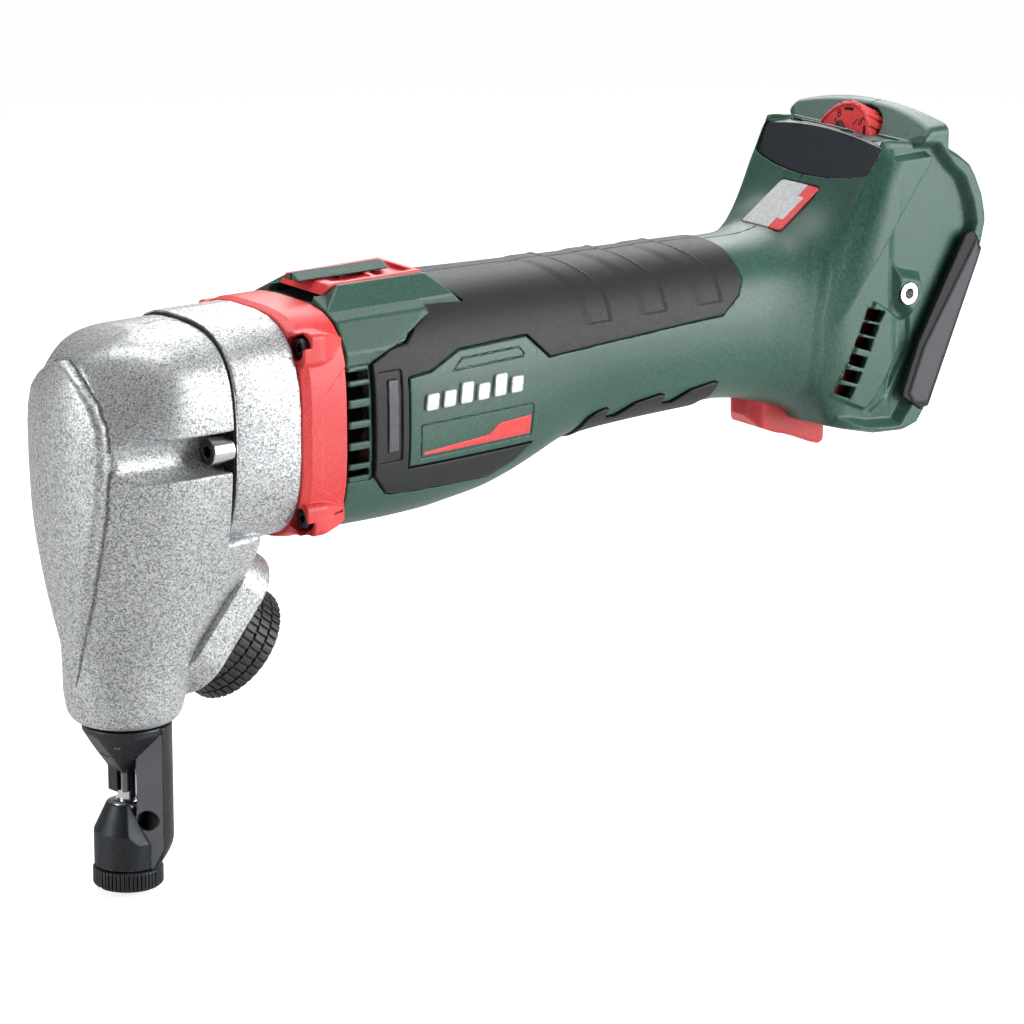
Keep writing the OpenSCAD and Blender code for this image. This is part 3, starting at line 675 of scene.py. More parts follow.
def head(x, y, z):
    shape = head_outside(x, y, z)
    trough = screw_trough(x, y, z)
    # the seam narrows and runs out at the bottom
    seam = np.abs(x - SEAM_X) - np.interp(z, [-37, -33, -20, 30], [0, 0.25, 0.38, 0.38])
    shape = np.where(z > -37, engrave(shape, seam, shape, 1.6, 0.2, 0.3), shape)
    # dark line round the front pad
    i = (x < -12) & (shape > -4) & (shape < 3) & (z > -84)
    if i.any():
        line = np.abs(polygon(y[i], z[i], PAD) - 0.25) - 0.42
        shape[i] = engrave(shape[i], line, shape[i], 1.1, 0.2, 0.3)
    shape = cut(shape, trough, 0.9)
    # crank chamber, open through the collar but closed round the troughs
    chamber = meet(head_front(x, y, z) + 4.6, meet(-41 - z, z - 26, 2), 2)
    opening = superellipse(y, z + 2.7, COLLAR_HALF_Y - COLLAR_WALL,
                           COLLAR_HALF_Z - COLLAR_WALL, 3.2)
    chamber = np.minimum(chamber, meet(opening, 22 - x, 1))
    chamber = meet(chamber, 2.6 - trough, 0.5)
    # bores for the die holder, the ram and the lock knob's stepped shaft
    r = radius(x, y)
    holder_bore = meet(r - 13.05, z + 62, 0.3)
    ram_bore = meet(r - 9.2, span(z, -70, -38), 0.3)
    up, side, out = at_knob(x, y, z)
    r = radius(up, side)
    knob_bore = np.minimum(meet(r - 4.4, -37.2 - out, 0.3),
                           meet(r - 6.2, span(out, -38.2, -19), 0.3))
    shape = cut(shape, chamber, 0.4)
    return cut(shape, np.minimum(np.minimum(holder_bore, ram_bore), knob_bore), 0.3)


add("head_visual", head, (-40, -40, -106), (54, 40, 42), 0.54, ["cast_aluminium"],
    "head_casting")

# ------------------------------------------------------------------ body outlines
BODY_FRONT = 69.35
# neck by x: half width, bottom, top, superellipse power
NECK_X = [60, 69.3, 96, 110, 124, 136, 148, 160, 171, 182, 195, 215, 243, 256, 266, 276, 285,
          294, 301, 308, 360]
neck_width = curve(NECK_X, [34.6, 34.6, 34.2, 33.5, 32.6, 31.7, 31, 30.4, 29.9, 29.5, 29.2,
                            28.8, 28.6, 29, 30.2, 32, 33.6, 34.6, 35.2, 35.6, 36])
neck_bottom = curve(NECK_X, [-42.2, -42.4, -43, -42.8, -41.6, -40.2, -37.3, -33, -28.6, -25.8,
                             -24.8, -24, -23.5, -24.8, -27.2, -30.5, -34.5, -37.5, -39, -39.8,
                             -40])
neck_top = curve([60, 69.3, 100, 124, 150, 184, 215, 243, 262, 271, 280, 294, 297, 304.5, 310,
                  360],
                 [36.5, 36.5, 36.9, 37.4, 36.9, 36, 35.3, 34.7, 34.4, 35.4, 40.4, 50.4, 54.6,
                  69.4, 70.5, 71])
neck_power = curve([60, 69.3, 96, 124, 160, 195, 243, 262, 276, 290, 304, 360],
                   [3.4, 3.3, 3, 2.7, 2.45, 2.35, 2.35, 2.45, 2.8, 3.6, 5, 6])

# side outlines, all (x, z)
FOOT = [(283, -34.5), (302, -39.2), (314, -39.9), (320.5, -38), (324.5, -32.3), (349.8, 24.3),
        (352.1, 34.6), (351.9, 38.1), (350.2, 45.5), (346.7, 53.1), (343.9, 57.4),
        (339.3, 60.8), (334.6, 63.6), (333.6, 66), (333.2, 77.5), (329, 76.6), (317.6, 67.4),
        (304.2, 69.4), (295.7, 52.4), (284, 30), (279, 6), (278, -22)]
# raised rim: follows the foot's rear and bottom edge, then returns inside it
RIM = [(318.5, 65.6), (317.6, 80), (334, 80), (333.6, 64), *FOOT[11::-1],
       (285, -30.5), (297, -33.6), (310, -34.6), (316.4, -27), (322, -15), (341.5, 27),
       (344.2, 35), (342.6, 42.5), (338.6, 51.5), (333, 56.4), (328.5, 62), (326.5, 64.6)]
RAISED_WEDGE = [(306.8, 61.4), (323.6, 61.6), (323, 58.8), (316.8, 51.6), (295.2, 22),
                (284, 5.6)]
POCKET = [(329.3, 51.6), (337.9, 49.6), (343.4, 37.4), (341.9, 33.3), (335.2, 27),
          (323.2, 15.8), (307.8, 24.8)]
HEX_BOSS = [(306.8, 25.4), (311.5, 21.4), (321.6, 18.6), (323.4, 9.6), (315.9, 1.4),
            (307.6, 10.7)]
VENT_PANEL = [(299.4, 11.4), (312.6, 2.6), (312, -7.9), (304, -20.4), (300.8, -25.4),
              (296.2, -29.2), (281.5, -22.8)]
CHANNEL = [(312.8, 2.4), (317.9, 3), (318.6, -7), (311.6, -18.4), (307.4, -25.4),
           (299.6, -31.4), (296.4, -29.3), (300.9, -25.6), (304.2, -20.6), (312.2, -7.9)]
REAR_VENTS = [[(296.9, 8.8), (304, 6.8), (301.4, 2.9), (295.3, 4.6)],
              [(294.8, 3.8), (301.2, 2), (299.3, -2.1), (293.2, -0.2)],
              [(292.6, -1.1), (298.8, -2.9), (297.3, -7.2), (290.8, -4.8)],
              [(289.7, -7.2), (296.1, -9.4), (294.4, -13.2), (288.3, -11)],
              [(287.3, -12.7), (294, -14.6), (291.7, -18.7), (285.7, -16.5)],
              [(284.8, -18.1), (291.1, -19.9), (288.9, -23.9), (282.8, -21.3)]]
FRONT_VENTS = [(14.4, 1.5), (8.7, 2.3), (1.2, 2.3), (-6.1, 2.4), (-13.6, 2.4),
               (-19.3, 1.2)]        # z of each slot, half height
BUMPER = [(344.1, 32.2), (348.6, 25), (346.9, 20.6), (324.3, -31.1), (320.6, -31.6),
          (311.7, -25.8), (312.2, -23.4), (319, -6.3), (340.6, 31)]
BUMPER_FACE = [(345.4, 29), (320.6, -8.8), (314.2, -24.8), (316.4, -28.6), (322.9, -29.6),
               (346.9, 23.6)]
GRIP = [(79.8, 19.2), (81.4, 21), (95.5, 22.5), (107.8, 33.2), (107.8, 60), (241.5, 60),
        (247.5, 33), (247.2, 24), (243.6, 19), (235.5, 13.1), (157, 9.3), (147.7, 18.2),
        (116.8, 17.7), (104, 12.2), (94.2, 11.3), (94.2, -20.7), (151.5, -21.2),
        (144.6, -27), (134.2, -31.1), (88.9, -29.2), (86.2, -28.2), (80.3, -21.2)]
NAME_PLATE = [(94.7, 10.9), (104.1, 11.7), (117, 17.2), (147.4, 17.7), (151.6, 13.4),
              (151.6, -20.7), (94.7, -20.2)]
LOWER_PAD = [(177, -40), (177.5, -21.5), (178.8, -17.6), (182, -15.8), (186.4, -14.8),
             (187.6, -15.6), (188.2, -19.2), (192.6, -19.4), (199.4, -15), (210.4, -13.2),
             (212.6, -14), (213.4, -17.6), (217.6, -18), (224.2, -13.8), (234.6, -12),
             (236.8, -12.9), (236.4, -18.6), (233.6, -20.6), (233.6, -40)]
# screws on the right half: x, z, y of the seat; the second and third pass the lower pad
HOUSING_SCREWS = [(84, -33.4, 24), (176, -18.8, 18.5), (228, -16, 17.5), (306, -33.5, 24),
                  (272, 22, 25)]

# badge and dial face forward and up
at_badge = local_frame((283.6, 0, 43.05), (-0.5702, 0, 0.8215), (0.8215, 0, 0.5702))
at_dial = local_frame((311.8, 0, 63.8), (-0.8944, 0, 0.4472), (0.4472, 0, 0.8944))


def neck(x, y, z):
    bottom, top = neck_bottom(x), neck_top(x)
    return superellipse(y, z - (top + bottom) / 2, neck_width(x), (top - bottom) / 2,
                        neck_power(x))


FOOT_HALF_Y = 34.3


def side_wall(x, z):
    """half width of the foot's side, with its raised and sunk areas"""
    def rise(outline, height, slope, start):
        return height * smooth_step(-polygon(x, z, outline) / slope + start)
    wall = FOOT_HALF_Y + rise(RIM, 4.3, 3.4, 0.25)
    # ahead of the wedge's ridge the flank falls slowly, behind it drops
    ridge = (x - 307) * 0.922 - (z - 61.4) * 0.387
    fall = np.where(ridge < 0, 5.4, 1.7)
    flank = smooth_step(1 - np.maximum(polygon(x, z, RAISED_WEDGE), 0) / fall)
    wall = np.maximum(wall, FOOT_HALF_Y + 4.3 * flank)
    wall = wall - rise(POCKET, 1.5, 1.6, 0.3)
    wall = np.maximum(wall, FOOT_HALF_Y + rise(HEX_BOSS, 4.6, 4, 0.18))
    wall = wall + rise(VENT_PANEL, 2.2, 1.4, 0.3)
    return wall - rise(CHANNEL, 1.4, 1.6, 0.3)


def foot(x, y, z):
    abs_y = np.abs(y)
    outline = polygon(x, z, FOOT)
    arch = (z - (76.3 - 0.0031 * y * y)) * 0.98
    wall = np.full(x.shape, FOOT_HALF_Y)
    i = (abs_y > 30) & (outline < 6)
    if i.any():
        wall[i] = side_wall(x[i], z[i])
    shape = meet(meet(outline, arch, 1.2), (abs_y - wall) * 0.78, 2.2)
    # the front edges are eased towards the neck
    front = np.interp(z, [-30, -22, 6, 30, 52.4, 69.4, 80],
                      [280, 278, 279, 284, 295.7, 304.2, 306])
    start = np.interp(z, [30, 52], [30, 33.2])
    ease = (abs_y - (start + np.clip((x - front) * 0.75, 0, 30))) * 0.80
    return meet(shape, ease, 3)


def switch_block(x, y, z):
    """raised block under the slide switch: a narrow upper step on a wider lower one"""
    abs_y = np.abs(y)
    bevel = (abs_y - 14.2) * 0.657 + (z - 41.8) * 0.754
    upper = meet(meet(z - 41.8, bevel, 0.5), abs_y - 22.2, 0.6)
    upper = meet(upper, (69.2 - x) * 0.571 + (z - 35) * 0.821, 0.5)
    upper = meet(upper, (x - 115.3) * 0.72 + (z - 41.8) * 0.694, 0.5)
    top = (abs_y - 22) * 0.42 + (z - 35) * 0.9075
    shoulder = (abs_y - 27.2) * 0.86 + (z - 32.6) * 0.51
    lower = meet(meet(top, shoulder, 0.5), abs_y - 33.2, 0.5)
    lower = meet(lower, (x - 97) * 0.414 - (z - 26) * 0.91, 0.6)
    lower = meet(lower, x - 107.4, 0.5)
    shape = meet(np.minimum(upper, lower), BODY_FRONT - x, 0.3)
    return meet(shape, 12 - z, 0.4)


def skin(x, y, z):
    return join(meet(neck(x, y, z), x - 306, 2), foot(x, y, z), 5)


def body_outside(x, y, z):
    return join(skin(x, y, z), switch_block(x, y, z), 0.5)


def grip_region(x, y, z):
    return meet(polygon(x, z, GRIP), 0.4 - switch_block(x, y, z), 0.3)


def front_vents(x, y, z):
    shape = empty(x)
    for centre, half in FRONT_VENTS:
        shape = np.minimum(shape, rect(x - 74.3, z - centre, 4.3, half, 0.6))
    return meet(shape, 27 - np.abs(y), 0.3)


def lens_outline(up, side):
    """dark lens round the front of the dial"""
    top = up - (1.4 - 0.0024 * side * side)
    bottom = -(up - (-17.2 + 0.0046 * side * side))
    ends = (np.abs(side) - 33) * 0.97 + (up + 2) * -0.12
    return meet(meet(top, bottom, 1), ends, 1.2)


def rear_slope(x, z, start):
    """distance behind the foot's sloping rear wall, placed at x = start for z = -31"""
    return (x - start - (z + 31) * 0.4057) * 0.93


# ------------------------------------------------------------------ the housing
def cut_badge_and_dial(shape, x, y, z):
    up, side, out = at_badge(x, y, z)
    seat = meet(rect(up, side + 1.4, 12, 11.2, 1.6), -0.9 - out, 0.2)
    shape = cut(shape, meet(seat, out - 8, 0.2), 0.4)
    up, side, out = at_dial(x, y, z)
    lens = meet(lens_outline(up, side) - 0.25, 7.4 - 0.0022 * side * side - out, 0.2)
    shape = cut(shape, meet(lens, out - 18, 0.2), 0.3)
    well = meet(radius(up, side) - 16.4, span(out, -10.8, 2.6), 0.4)
    shape = cut(shape, well, 0.5)
    plate_seat = box(x, y, z, (309, 0, 72), (8, 32.2, 5.6), 0.5)
    return cut(shape, meet(plate_seat, out - 9.6, 0.3), 0.3)


def cut_inside(shape, x, y, z):
    abs_y = np.abs(y)
    hollow = meet(neck(x, y, z) + 2.7, x - 302, 1)
    rear = meet(foot(x, y, z) + 3, rear_slope(x, z, 318.6), 0.6)
    hollow = join(hollow, meet(rear, z - 50, 0.6), 2)
    hollow = meet(hollow, 60 - x, 0.3)
    shape = cut(shape, meet(hollow, -9.0, 0.1), 0.4)
    # open room for the battery's slide head, behind the foot's wall
    room = meet(meet(-rear_slope(x, z, 322.6), z - 66, 1), abs_y - 32.6, 1)
    shape = cut(shape, meet(room, -(z + 60), 0.1), 0.5)
    # two slots through that wall
    slots = meet(np.abs(abs_y - 10.5) - 8.6,
                 np.abs((x - 330) * -0.3907 + (z + 8) * 0.9205) - 5.6, 0.3)
    return cut(shape, meet(slots, span(x, 312, 334), 0.3), 0.3)


def housing(x, y, z):
    abs_y = np.abs(y)
    plain = skin(x, y, z)
    shape = join(plain, switch_block(x, y, z), 0.5)
    outside = shape = meet(shape, BODY_FRONT - x, 0.8)
    # vents in a shallow panel
    panel = meet(rect(x - 74.4, z + 2.2, 5.4, 20, 1.5), 25 - abs_y, 0.3)
    shape = engrave(shape, panel, outside, 0.9, 0.2, 0.5)
    shape = cut(shape, front_vents(x, y, z), 0.4)
    # grooves round the soft parts
    i = (outside > -4) & (outside < 3)
    if i.any():
        soft = np.where(z[i] > -33.5, grip_region(x[i], y[i], z[i]), 5.0)
        lower = meet(polygon(x[i], z[i], LOWER_PAD), abs_y[i] - 25.5, 0.5)
        soft = np.minimum(soft, lower)
        shape[i] = engrave(shape[i], soft - 0.45, plain[i], 1.6, 0.3, 0.3)
    # slide switch recess and the slot for its tab
    recess = box(x, y, z, (94, 0, 39), (24, 13.35, 3.4), 0.6)
    recess = meet(recess, (x - 116.2) * 0.72 + (z - 40.4) * 0.694, 0.3)
    shape = cut(shape, recess, 0.3)
    shape = cut(shape, box(x, y, z, (100.5, 0, 34), (8, 4.2, 6), 0.5), 0.3)
    shape = cut_badge_and_dial(shape, x, y, z)
    i = (x > 278) & (x < 308) & (z > -26) & (z < 12) & (abs_y > 24)
    if i.any():
        vents = empty(x[i])
        for outline in REAR_VENTS:
            vents = np.minimum(vents, polygon(x[i], z[i], outline))
        shape[i] = cut(shape[i], meet(vents, 26 - abs_y[i], 0.3), 0.4)
    for screw_x, screw_z, seat_y in HOUSING_SCREWS:
        i = (np.abs(x - screw_x) < 6) & (np.abs(z - screw_z) < 6) & (y > seat_y - 3)
        if i.any():
            bore = radius(x[i] - screw_x, z[i] - screw_z) - 3
            shape[i] = cut(shape[i], meet(bore, seat_y - 2 - y[i], 0.2), 0.3)
    # round insert seat and bumper seat on each side, release button opening below
    insert = radius(x - 314, z - 12.4) - 4.05
    shape = cut(shape, meet(insert, 29 - abs_y, 0.2), 0.3)
    shape = cut(shape, meet(polygon(x, z, BUMPER) - 0.25, 36.6 - abs_y, 0.2), 0.3)
    button = box(x, y, z, (282.2, 0, -40), (18.2, 9.5, 18), 1)
    shape = cut(shape, meet(button, -50 - z, 0.1), 0.4)
    return cut_inside(shape, x, y, z)


def housing_painted_shade(x, y, z, normals):
    """painted shade: deep faces get the near-black material, except round the dial, at the rear
    and at the front top
    """
    bright = (x > 296) & (z > 55) | (x > 315) | (x < 73) & (z > 30)
    return (body_outside(x, y, z) < -1.9) & ~bright


# the shadow_gap material on the housing's deep faces is painted shade
add_halves("housing", housing, (66, -41, -48), (356, 41, 79), 0.7,
           ["green_plastic", "shadow_gap"], housing_painted_shade)

# ------------------------------------------------------------------ soft grip
BAR_X, WINDOW_Z = 87.8, -1.2     # bevelled bar in the window beside the vents


def grip(x, y, z):
    abs_y = np.abs(y)
    surface = skin(x, y, z)
    region = meet(grip_region(x, y, z), -33.4 - z, 0.3)
    outside = surface - 0.75
    # raised curved ribs on top, each with a pad ahead of it
    top = smooth_step((z - 17.5) / 1.2)
    for middle_x in (176, 201, 226):
        rib_x = middle_x + 9 * np.clip(abs_y / 24, 0, 1) ** 1.5
        rib = np.exp(-((x - rib_x) / 0.75) ** 2) * top
        pad = smooth_step(-(x - rib_x) / 0.8 + 0.5) * smooth_step((x - rib_x + 13) / 5) * top
        outside = outside - 0.35 * rib - 0.45 * pad
    shape = meet(meet(outside, -(surface + 1.45), 0.3), region, 0.7)
    window = meet(rect(x - 86.4, z - WINDOW_Z, 5, 15.8, 1), 20 - abs_y, 0.3)
    shape = engrave(shape, window, surface, -0.05, 0.2, 0.5)
    bar = meet(rect(x - BAR_X, z - WINDOW_Z, 2.2, 12.6, 0.6), 20 - abs_y, 0.3)
    bar = meet(bar, surface - 0.62, 0.4)
    return np.minimum(shape, meet(bar, -(surface + 1.2), 0.2))


def grip_bar(x, y, z, normals):
    return (rect(x - BAR_X, z - WINDOW_Z, 2.1, 12.5, 0.6) < 0) & (np.abs(y) > 20)


plastic("frame_bar", (58, 60, 64), (78, 81, 86), (104, 108, 113), rough=(0.4, 0.5))
add_halves("grip", grip, (76, -38, -36), (252, 38, 41), 0.52, ["soft_grip", "frame_bar"],
           grip_bar)


def lower_pad(x, y, z):
    shape = layer(skin(x, y, z), 1.2, 1.4, 0.3)
    shape = meet(shape, polygon(x, z, LOWER_PAD), 1)
    shape = meet(shape, meet(np.abs(y) - 25, z + 8, 0.3), 0.6)
    for screw_x, screw_z, _ in HOUSING_SCREWS[1:3]:
        bore = radius(x - screw_x, z - screw_z) - 3.2
        shape = cut(shape, meet(bore, 5 - y, 0.3), 0.3)
    return shape


add("lower_pad_visual", lower_pad, (172, -28, -32), (240, 28, -8), 0.5, ["soft_grip"],
    "lower_grip_pad")

# ------------------------------------------------------------------ name plates
# (x, z) outlines of the engraved bar and of the raised red mark
PLATE_BAR = [(112.4, 10.2), (117.6, 14.8), (143.6, 15), (146, 12.4), (145.2, 10.6)]
RED_MARK = [(100.2, -17.2), (100.2, -15.6), (129.5, -14), (134, -10.6), (148.8, -9.8),
            (148.8, -17.2)]
BAR_HALF_HEIGHTS = (2.9, 2.9, 3.7, 2.9, 3.9, 2.9)


def name_plate(x, y, z):
    surface = body_outside(x, y, z)
    shape = meet(layer(surface, 0.55, 1.2, 0.3), polygon(x, z, NAME_PLATE) + 0.15, 0.5)
    bar = np.abs(polygon(x, z, PLATE_BAR) + 0.5) - 0.22
    shape = engrave(shape, bar, surface, -0.15, 0.1, 0.25)
    lower = np.abs(rect(x - 124.4, z + 12, 25, 5.8, 0.8)) - 0.22
    shape = engrave(shape, lower, surface, -0.15, 0.1, 0.25)
    return meet(shape, 15 - np.abs(y), 0.2)


def plate_mark(x, y, z):
    surface = body_outside(x, y, z)
    shape = meet(layer(surface, 0.75, 0.4, 0.2), polygon(x, z, RED_MARK) + 0.2, 0.3)
    return meet(shape, 15 - np.abs(y), 0.2)


def plate_bars(x, y, z):
    """row of slanted bars that climbs slightly towards the rear"""
    bars = empty(x)
    for k, half in enumerate(BAR_HALF_HEIGHTS):
        centre = 103.8 + k * 7.5
        height = z - 1.5 - 0.012 * (centre - 100) - (half - 2.9)
        bars = np.minimum(bars, rect(x - centre - (z - 1.6) * 0.12, height, 2.7, half, 0.9))
    shape = meet(layer(body_outside(x, y, z), 1.6, 0.3, 0.3), bars, 0.4)
    return meet(shape, 15 - np.abs(y), 0.2)


# name, field, x range, widest y, z range, material
PLATE_PARTS = [("name_plate", name_plate, (92, 154), 37, (-23, 20), "green_plastic"),
               ("plate_mark", plate_mark, (98, 151), 37, (-19, -8), "red_plastic"),
               ("plate_bars", plate_bars, (99, 146), 38, (-4, 8), "badge_silver")]
for side in ("left", "right"):
    for name, field, x_range, widest, z_range, material in PLATE_PARTS:
        y_range = (-widest, -22) if side == "left" else (22, widest)
        add(f"{name}_{side}_visual", field, *zip(x_range, y_range, z_range), 0.42,
            [material], "name_plate_" + side)

# ------------------------------------------------------------------ flange ring and screws
FLANGE_SCREWS = [(29.6, 26.3), (30.6, -32.4)]     # |y|, z
# sunk panel on each side of the ring, (x, z)
RING_PANEL = [(70, 19), (67.6, 17.8), (58.6, 9), (58.6, -22.2), (67.4, -28.2), (70, -29.6)]


def ring_outside(x, y, z):
    stations = [50, 54, 69]
    top = np.interp(x, stations, [36.2, 37, 36.9])
    bottom = np.interp(x, stations, [-42, -42.7, -42.6])
    width = np.interp(x, stations, [34.5, 35.3, 35.1])
    return superellipse(y, z - (top + bottom) / 2, width, (top - bottom) / 2, 3.5)


def flange_ring(x, y, z):
    abs_y = np.abs(y)
    shape = outside = ring_outside(x, y, z)
    for screw_y, screw_z in FLANGE_SCREWS:
        lift = 0.3 if screw_z > 0 else 0.2
        block = rect(abs_y - screw_y + 0.6, z - screw_z + lift, 5.9, 5.7, 2.2)
        block = meet(block, 51.2 - x, 0.8)
        # the blocks run out towards the body
        block = meet(block, (x - 60) * 0.35 + block + 0.3, 0.6)
        shape = join(shape, block, 0.8)
    shape = meet(shape, np.abs(x - 59.55) - 9.35, 0.7)
    for screw_y, screw_z in FLANGE_SCREWS:
        dy, dz = abs_y - screw_y, z - screw_z
        seat = radius(dy, dz) - 4.35
        shape = cut(shape, meet(seat, x - 56.2, 0.3), 0.4)
        # opening from the seat out through the corner
        sign = 1 if screw_z > 0 else -1
        opening = meet(np.abs(dy * 0.75 - dz * (sign * 0.66)) - 3.2,
                       -(dy * 0.66 + dz * (sign * 0.75)), 0.3)
        shape = cut(shape, meet(opening, x - 54.4, 0.3), 0.5)
    panel = meet(polygon(x, z, RING_PANEL), 20 - abs_y, 0.3)
    shape = engrave(shape, panel, outside, 0.75, 0.2, 0.35)
    dash = meet(rect(x - 65.6, z + 31.6, 2.4, 0.25, 0.2), 20 - abs_y, 0.2)
    shape = engrave(shape, dash, outside, 0.5, 0.1, 0.2)
    return cut(shape, superellipse(y, z + 2.6, 29.2, 33.6, 3.2), 0.4)


add("flange_ring_visual", flange_ring, (49, -39, -46), (70.5, 39, 40), 0.5, ["red_plastic"],
    "flange_ring")


def flange_screws(x, y, z):
    """round heads with a six-lobed socket"""
    shape = empty(x)
    for screw_y, screw_z in FLANGE_SCREWS:
        dy, dz = np.abs(y) - screw_y, z - screw_z
        lobes = 0.5 + 0.5 * np.cos(6 * np.arctan2(dz, dy))
        socket = radius(dy, dz) - (1.25 + (1.95 - 1.25) * lobes)
        screw = cylinder(dy, dz, x, 3.45, 52.6, 55.9, 0.7)
        screw = cut(screw, meet(socket, x - 54.4, 0.2), 0.15)
        screw = np.minimum(screw, cylinder(dy, dz, x, 1.9, 55.5, 66.0))
        shape = np.minimum(shape, screw)
    return shape


add("flange_screws_visual", flange_screws, (51, -36, -38), (67, 36, 32), 0.26,
    ["black_steel"], "flange_screws")


def head_screws(x, y, z):
    """cap screws with a hexagon socket"""
    dy, dz = np.abs(y) - HEAD_SCREW_Y, z - HEAD_SCREW_Z
    shape = cylinder(dy, dz, x, 4.75, 15.2, 24.0, 0.7)
    socket = np.maximum(np.abs(dy), np.maximum(np.abs(dy * 0.5 + dz * 0.866),
                                               np.abs(dy * 0.5 - dz * 0.866))) - 2.1
    shape = cut(shape, meet(socket, x - 18.8, 0.3), 0.2)
    return np.minimum(shape, cylinder(dy, dz, x, 2.4, 23.5, 38.0))


def head_screw_painted_shade(x, y, z, normals):
    """painted shade: dark steel on the faces turned forward and in the socket"""
    in_socket = radius(np.abs(y) - HEAD_SCREW_Y, z - HEAD_SCREW_Z) < 3
    return (normals[:, 0] < -0.6) | ((x > 15.4) & in_socket & (x < 19.2))


# the black steel on these screws' front faces and sockets is painted shade on bright steel
add("head_screws_visual", head_screws, (14, -36, -10), (39, 36, 3), 0.3,
    ["bright_steel", "black_steel"], "head_screws", pick=head_screw_painted_shade)


# ------------------------------------------------------------------ slide switch
def switch_slider(x, y, z):
    abs_y = np.abs(y)
    shape = meet(z - (42.3 + 0.012 * (x - 95)), abs_y - 12.9, 0.8)
    shape = meet(shape, (75 - x) * 0.8 + (z - 40.6) * 0.6, 0.5)
    shape = meet(shape, (x - 115.6) * 0.9 + (z - 40.6) * 0.44, 0.6)
    shape = meet(shape, 38.6 - z, 0.4)
    # finger recesses ahead of and behind a bent rib
    rib = x - 96.4 - 0.16 * (11 - abs_y)
    front = meet(meet(80.6 - x, rib + 1, 0.8),
                 abs_y - 10.6 + np.maximum(84 - x, 0) * 0.5, 0.8)
    front = meet(front, -(z - 41 - 0.010 * (x - 88) ** 2 * 0.6), 0.3)
    rear = meet(meet(-(rib - 1), x - 112.6, 0.8), abs_y - 10.6, 0.8)
    rear = meet(rear, -(z - 41), 0.3)
    shape = cut(shape, np.minimum(front, rear), 0.45)
    on_mark = meet(rect(x - 88.2, y, 0.55, 2.6, 0.5), z - 41.55, 0.2)
    off_mark = meet(np.abs(radius(x - 105.2, y * 0.72) - 1.7) - 0.45, z - 41.4, 0.2)
    shape = np.minimum(shape, meet(np.minimum(on_mark, off_mark), 40.4 - z, 0.2))
    tab = box(x, y, z, (104, 0, 35.8), (3.9, 2.95, 3.1), 0.4)
    return np.minimum(shape, tab)


add("switch_slider_visual", switch_slider, (73, -14, 31.5), (118, 14, 44), 0.34,
    ["red_plastic"], "switch_slider", body="switch_unit")

# ------------------------------------------------------------------ speed dial
DIAL_BOX = (293, -18, 46), (330, 18, 82)
DIGITS = {1: "5", 3: "2", 5: "0", 7: "1", 9: "8"}     # by tenth of a turn
DIGIT_RADIUS = 11.2


def speed_dial(x, y, z):
    up, side, out = at_dial(x, y, z)
    r = radius(up, side)
    rim = r - toothed(np.arctan2(side, up), 15.3, 20, 0.75, 0.25)
    shape = meet(rim, np.abs(out + 4.75) - 4.75, 0.7)
    shape = meet(shape, r * 0.45 + out * 0.9 - 6.3, 0.5)
    shape = cut(shape, meet(r - 13.4, -0.7 - out, 0.3), 0.4)
    return cut(shape, meet(r - 2.6, out + 2.2, 0.2), 0.2)


def dial_pointer(x, y, z):
    up, side, out = at_dial(x, y, z)
    cos, sin = math.cos(0.45), math.sin(0.45)
    along = up * cos + side * sin
    across = np.abs(-up * sin + side * cos)
    shape = meet(meet(across - 3.6, along - 7.6, 0.3), -8.6 - along, 0.6)
    shape = meet(shape, across * 0.86 + (along - 8.4) * 0.5, 0.3)
    shape = meet(shape, out - 2.2 + 0.55 * across, 0.3)
    shape = meet(shape, out - 2.2 + 0.22 * np.maximum(along, 0), 0.3)
    return meet(shape, -1.2 - out, 0.1)


def stroke(x, y, start, end, half=0.2):
    dx, dy = end[0] - start[0], end[1] - start[1]
    t = np.clip(((x - start[0]) * dx + (y - start[1]) * dy) / (dx * dx + dy * dy), 0, 1)
    return radius(x - start[0] - t * dx, y - start[1] - t * dy) - half


def loop(x, y, r, half=0.2):
    return np.abs(radius(x, y) - r) - half


def digit_outline(digit, x, y):
    if digit == "8":
        return np.minimum(loop(x, y - 0.75, 0.62), loop(x, y + 0.7, 0.75))
    if digit == "5":
        shape = np.minimum(stroke(x, y, (-0.7, 1.45), (0.7, 1.45)),
                           stroke(x, y, (-0.7, 1.45), (-0.75, 0.15)))
        return np.minimum(shape, meet(loop(x + 0.05, y + 0.55, 0.82), -(x + 0.85), 0.1))
    if digit == "2":
        shape = np.minimum(meet(loop(x, y - 0.7, 0.7), -(y - 0.3), 0.1),
                           stroke(x, y, (0.6, 0.4), (-0.7, -1.4)))
        return np.minimum(shape, stroke(x, y, (-0.7, -1.4), (0.8, -1.4)))
    if digit == "1":
        return np.minimum(stroke(x, y, (0.1, 1.4), (0.1, -1.4)),
                          stroke(x, y, (0.1, 1.4), (-0.5, 0.9)))
    return np.abs(superellipse(x, y, 0.75, 1.4, 2.2)) - 0.2


def dial_marks(x, y, z):
    """arcs on the even tenths of a turn, ticks and digits on the odd ones"""
    up, side, out = at_dial(x, y, z)
    r = radius(up, side)
    angle = np.arctan2(side, up)
    shape = empty(x)
    for k in range(10):
        turn = k * math.tau / 10 + 0.10
        away = np.abs((angle - turn + math.pi) % math.tau - math.pi)
        if k % 2 == 0:
            mark = meet(np.abs(r - 12.1) - 0.55, away * 12 - 2.4, 0.15)
        else:
            mark = meet(away * r - 0.22, np.abs(r - 8.8) - 1.5, 0.1)
        shape = np.minimum(shape, mark)
    for k, digit in DIGITS.items():
        turn = -k * math.tau / 10 - 0.10
        cos, sin = math.cos(turn), math.sin(turn)
        outwards = up * cos + side * sin - DIGIT_RADIUS
        reading = up * sin - side * cos
        shape = np.minimum(shape, digit_outline(digit, reading, outwards))
    return meet(shape, np.abs(out + 0.68) - 0.12, 0.05)


